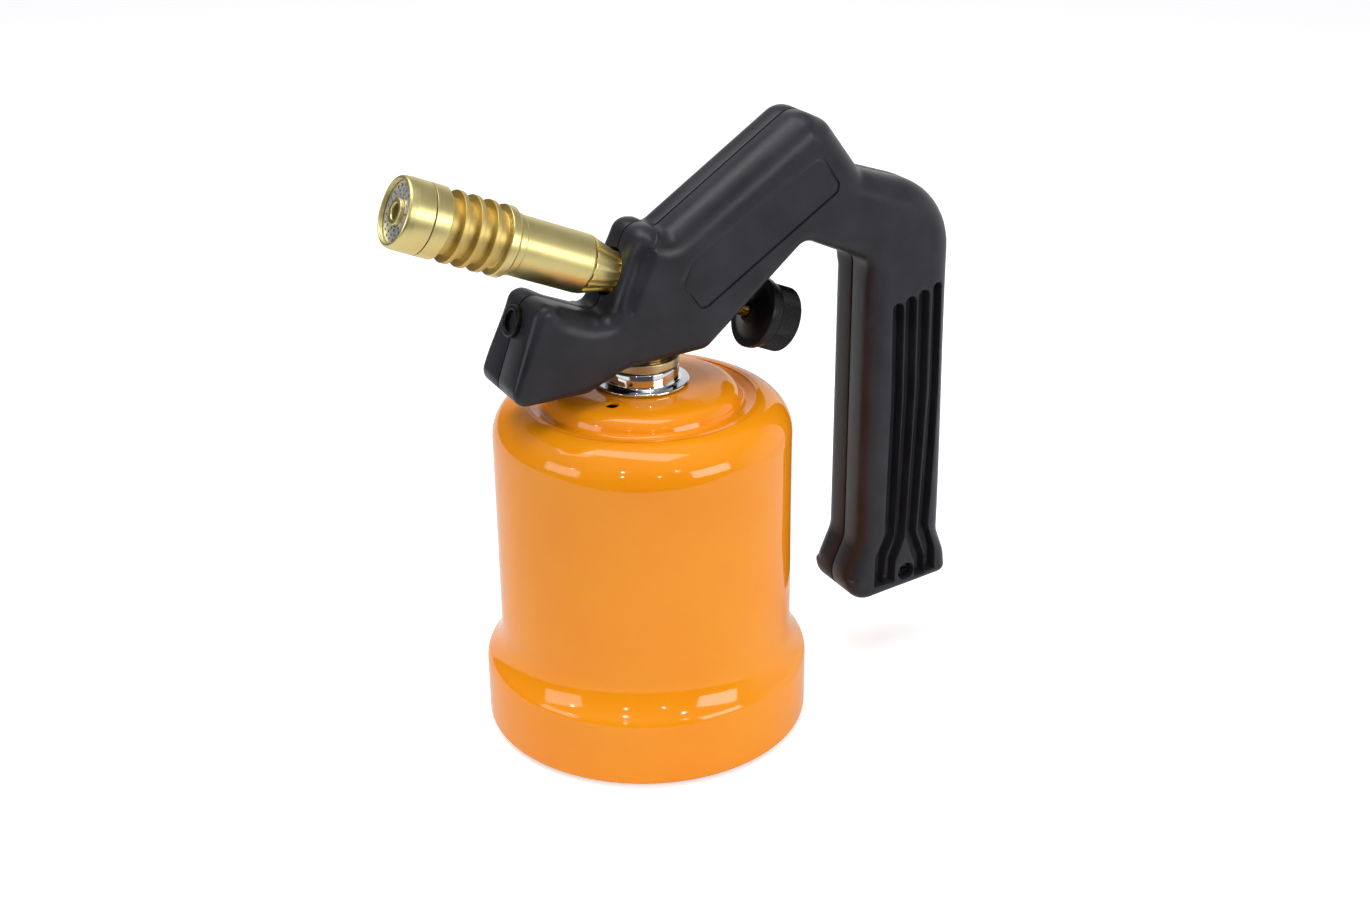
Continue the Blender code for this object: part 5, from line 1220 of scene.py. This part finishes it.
class TORCH_OT_stage(bpy.types.Operator):
    """Set the camera, the lamps, the pale floor and the white background"""
    bl_idname = "torch.stage"
    bl_label = "Stage"

    def execute(self, context):
        scene = context.scene
        scene.view_settings.view_transform = 'Standard'
        self.camera(scene)
        self.world(scene)
        self.floor(scene)
        for name, turn, rise, distance, size, power in LAMPS:
            softbox(name, turn, rise, distance, size, power * scene.torch_colours.lamp_level)
        return {'FINISHED'}

    def camera(self, scene):
        """The camera at the photograph's angle, turned a little about its own axis."""
        level = math.cos(CAMERA_ELEVATION)
        right = Vector((math.cos(CAMERA_AZIMUTH), math.sin(CAMERA_AZIMUTH), 0))
        back = Vector((math.sin(CAMERA_AZIMUTH) * level, -math.cos(CAMERA_AZIMUTH) * level,
                       math.sin(CAMERA_ELEVATION)))
        up = back.cross(right)
        rolled_right = right * math.cos(CAMERA_ROLL) + up * math.sin(CAMERA_ROLL)
        rolled_up = up * math.cos(CAMERA_ROLL) - right * math.sin(CAMERA_ROLL)
        camera = bpy.data.objects.new("camera", bpy.data.cameras.new("camera"))
        camera.data.sensor_fit = 'HORIZONTAL'
        camera.data.sensor_width = CAMERA_SENSOR
        camera.data.lens = CAMERA_LENS
        camera.data.clip_start = 0.01
        turn = Matrix((rolled_right, rolled_up, back)).transposed()
        camera.matrix_world = Matrix.Translation(CAMERA_PLACE) @ turn.to_4x4()
        scene.collection.objects.link(camera)
        scene.camera = camera

    def world(self, scene):
        """The room: dim, with a pale backdrop behind the torch, and white to the camera."""
        world = bpy.data.worlds.new("studio")
        scene.world = world
        world.use_nodes = True
        tree = world.node_tree
        tree.nodes.clear()
        place = add_node(tree, "ShaderNodeTexCoord").outputs["Generated"]
        height = add_node(tree, "ShaderNodeSeparateXYZ", {"Vector": place}).outputs["Z"]
        around = CAMERA_AZIMUTH - math.pi / 2 + BACKDROP_TURN
        behind = (math.cos(around), math.sin(around), 0)
        depth = add_node(tree, "ShaderNodeVectorMath", {0: place, 1: behind}, operation='DOT_PRODUCT')
        side = add_node(tree, "ShaderNodeMapRange", {
            "Value": depth.outputs["Value"], "From Min": 0.25, "From Max": 0.75},
            interpolation_type='SMOOTHSTEP')
        front = ramp_colours(add_node(tree, "ShaderNodeValToRGB", {"Fac": height}), [
            (0.0, "505054"), (0.35, "6E6E72"), (0.6, "A4A4A8"), (0.9, "C4C4C8")])
        back = ramp_colours(add_node(tree, "ShaderNodeValToRGB", {"Fac": height}), [
            (0.0, "FFFFFF"), (0.34, "F0F0F2"), (0.57, "808084"), (0.9, "A4A4A8")])
        room = add_node(tree, "ShaderNodeMix", {0: side, 6: front, 7: back}, data_type='RGBA')
        seen = add_node(tree, "ShaderNodeLightPath").outputs["Is Camera Ray"]
        soft = add_node(tree, "ShaderNodeBackground", {"Color": room.outputs[2], "Strength": 1.0})
        white = add_node(tree, "ShaderNodeBackground", {"Color": (1, 1, 1, 1), "Strength": 1.0})
        mix = add_node(tree, "ShaderNodeMixShader", {0: seen, 1: soft, 2: white})
        add_node(tree, "ShaderNodeOutputWorld", {"Surface": mix})

    def floor(self, scene):
        """A board of matt white paint, lifted to pure white where the camera looks."""
        bm = bmesh.new()
        bm.faces.new([bm.verts.new(spot) for spot in FLOOR_CORNERS])
        bm.transform(Matrix.Translation((0, 0, -FLOOR_GAP)) @ Matrix.Rotation(CAMERA_AZIMUTH, 4, 'Z'))
        mesh = bpy.data.meshes.new("floor")
        bm.to_mesh(mesh)
        bm.free()
        floor = bpy.data.objects.new("floor", mesh)
        scene.collection.objects.link(floor)
        material, tree, shader = new_material("painted_board")
        set_inputs(tree, shader, {"Base Color": (*scene.torch_colours.floor_colour, 1),
                                  "Roughness": 0.9, "Specular IOR Level": 0.0})
        seen = add_node(tree, "ShaderNodeLightPath").outputs["Is Camera Ray"]
        glow = add_node(tree, "ShaderNodeEmission", {"Color": (1, 1, 1, 1), "Strength": FLOOR_GLOW})
        none = add_node(tree, "ShaderNodeEmission", {"Color": (0, 0, 0, 1), "Strength": 0.0})
        lift = add_node(tree, "ShaderNodeMixShader", {0: seen, 1: none, 2: glow})
        total = add_node(tree, "ShaderNodeAddShader", {0: shader, 1: lift})
        set_inputs(tree, tree.nodes["Material Output"], {"Surface": total})
        mesh.materials.append(material)


class TORCH_PT_panel(bpy.types.Panel):
    """The torch's pieces and sizes, in the 3D view's sidebar"""
    bl_label = "Gas torch"
    bl_idname = "TORCH_PT_panel"
    bl_space_type = 'VIEW_3D'
    bl_region_type = 'UI'
    bl_category = "Torch"

    def draw(self, context):
        for kind in PIECES:
            self.layout.operator(kind.bl_idname)
        for group in (context.scene.torch_sizes, context.scene.torch_colours):
            for name in group.__annotations__:
                self.layout.prop(group, name)


PIECES = (TORCH_OT_casing, TORCH_OT_collar, TORCH_OT_burner_tube, TORCH_OT_fins, TORCH_OT_mouth,
          TORCH_OT_knob, TORCH_OT_handle, TORCH_OT_inner_parts, TORCH_OT_stage)
CLASSES = (TorchSizes, TorchColours) + PIECES + (TORCH_PT_panel,)


def register():
    for kind in CLASSES:
        bpy.utils.register_class(kind)
    bpy.types.Scene.torch_sizes = PointerProperty(type=TorchSizes)
    bpy.types.Scene.torch_colours = PointerProperty(type=TorchColours)


def unregister():
    del bpy.types.Scene.torch_colours
    del bpy.types.Scene.torch_sizes
    for kind in reversed(CLASSES):
        bpy.utils.unregister_class(kind)


def main():
    register()
    bpy.ops.torch.casing()
    bpy.ops.torch.collar()
    bpy.ops.torch.burner_tube()
    bpy.ops.torch.fins()
    bpy.ops.torch.mouth()
    bpy.ops.torch.knob()
    bpy.ops.torch.handle()
    bpy.ops.torch.inner_parts()
    bpy.ops.torch.stage()


if __name__ == "__main__":
    main()
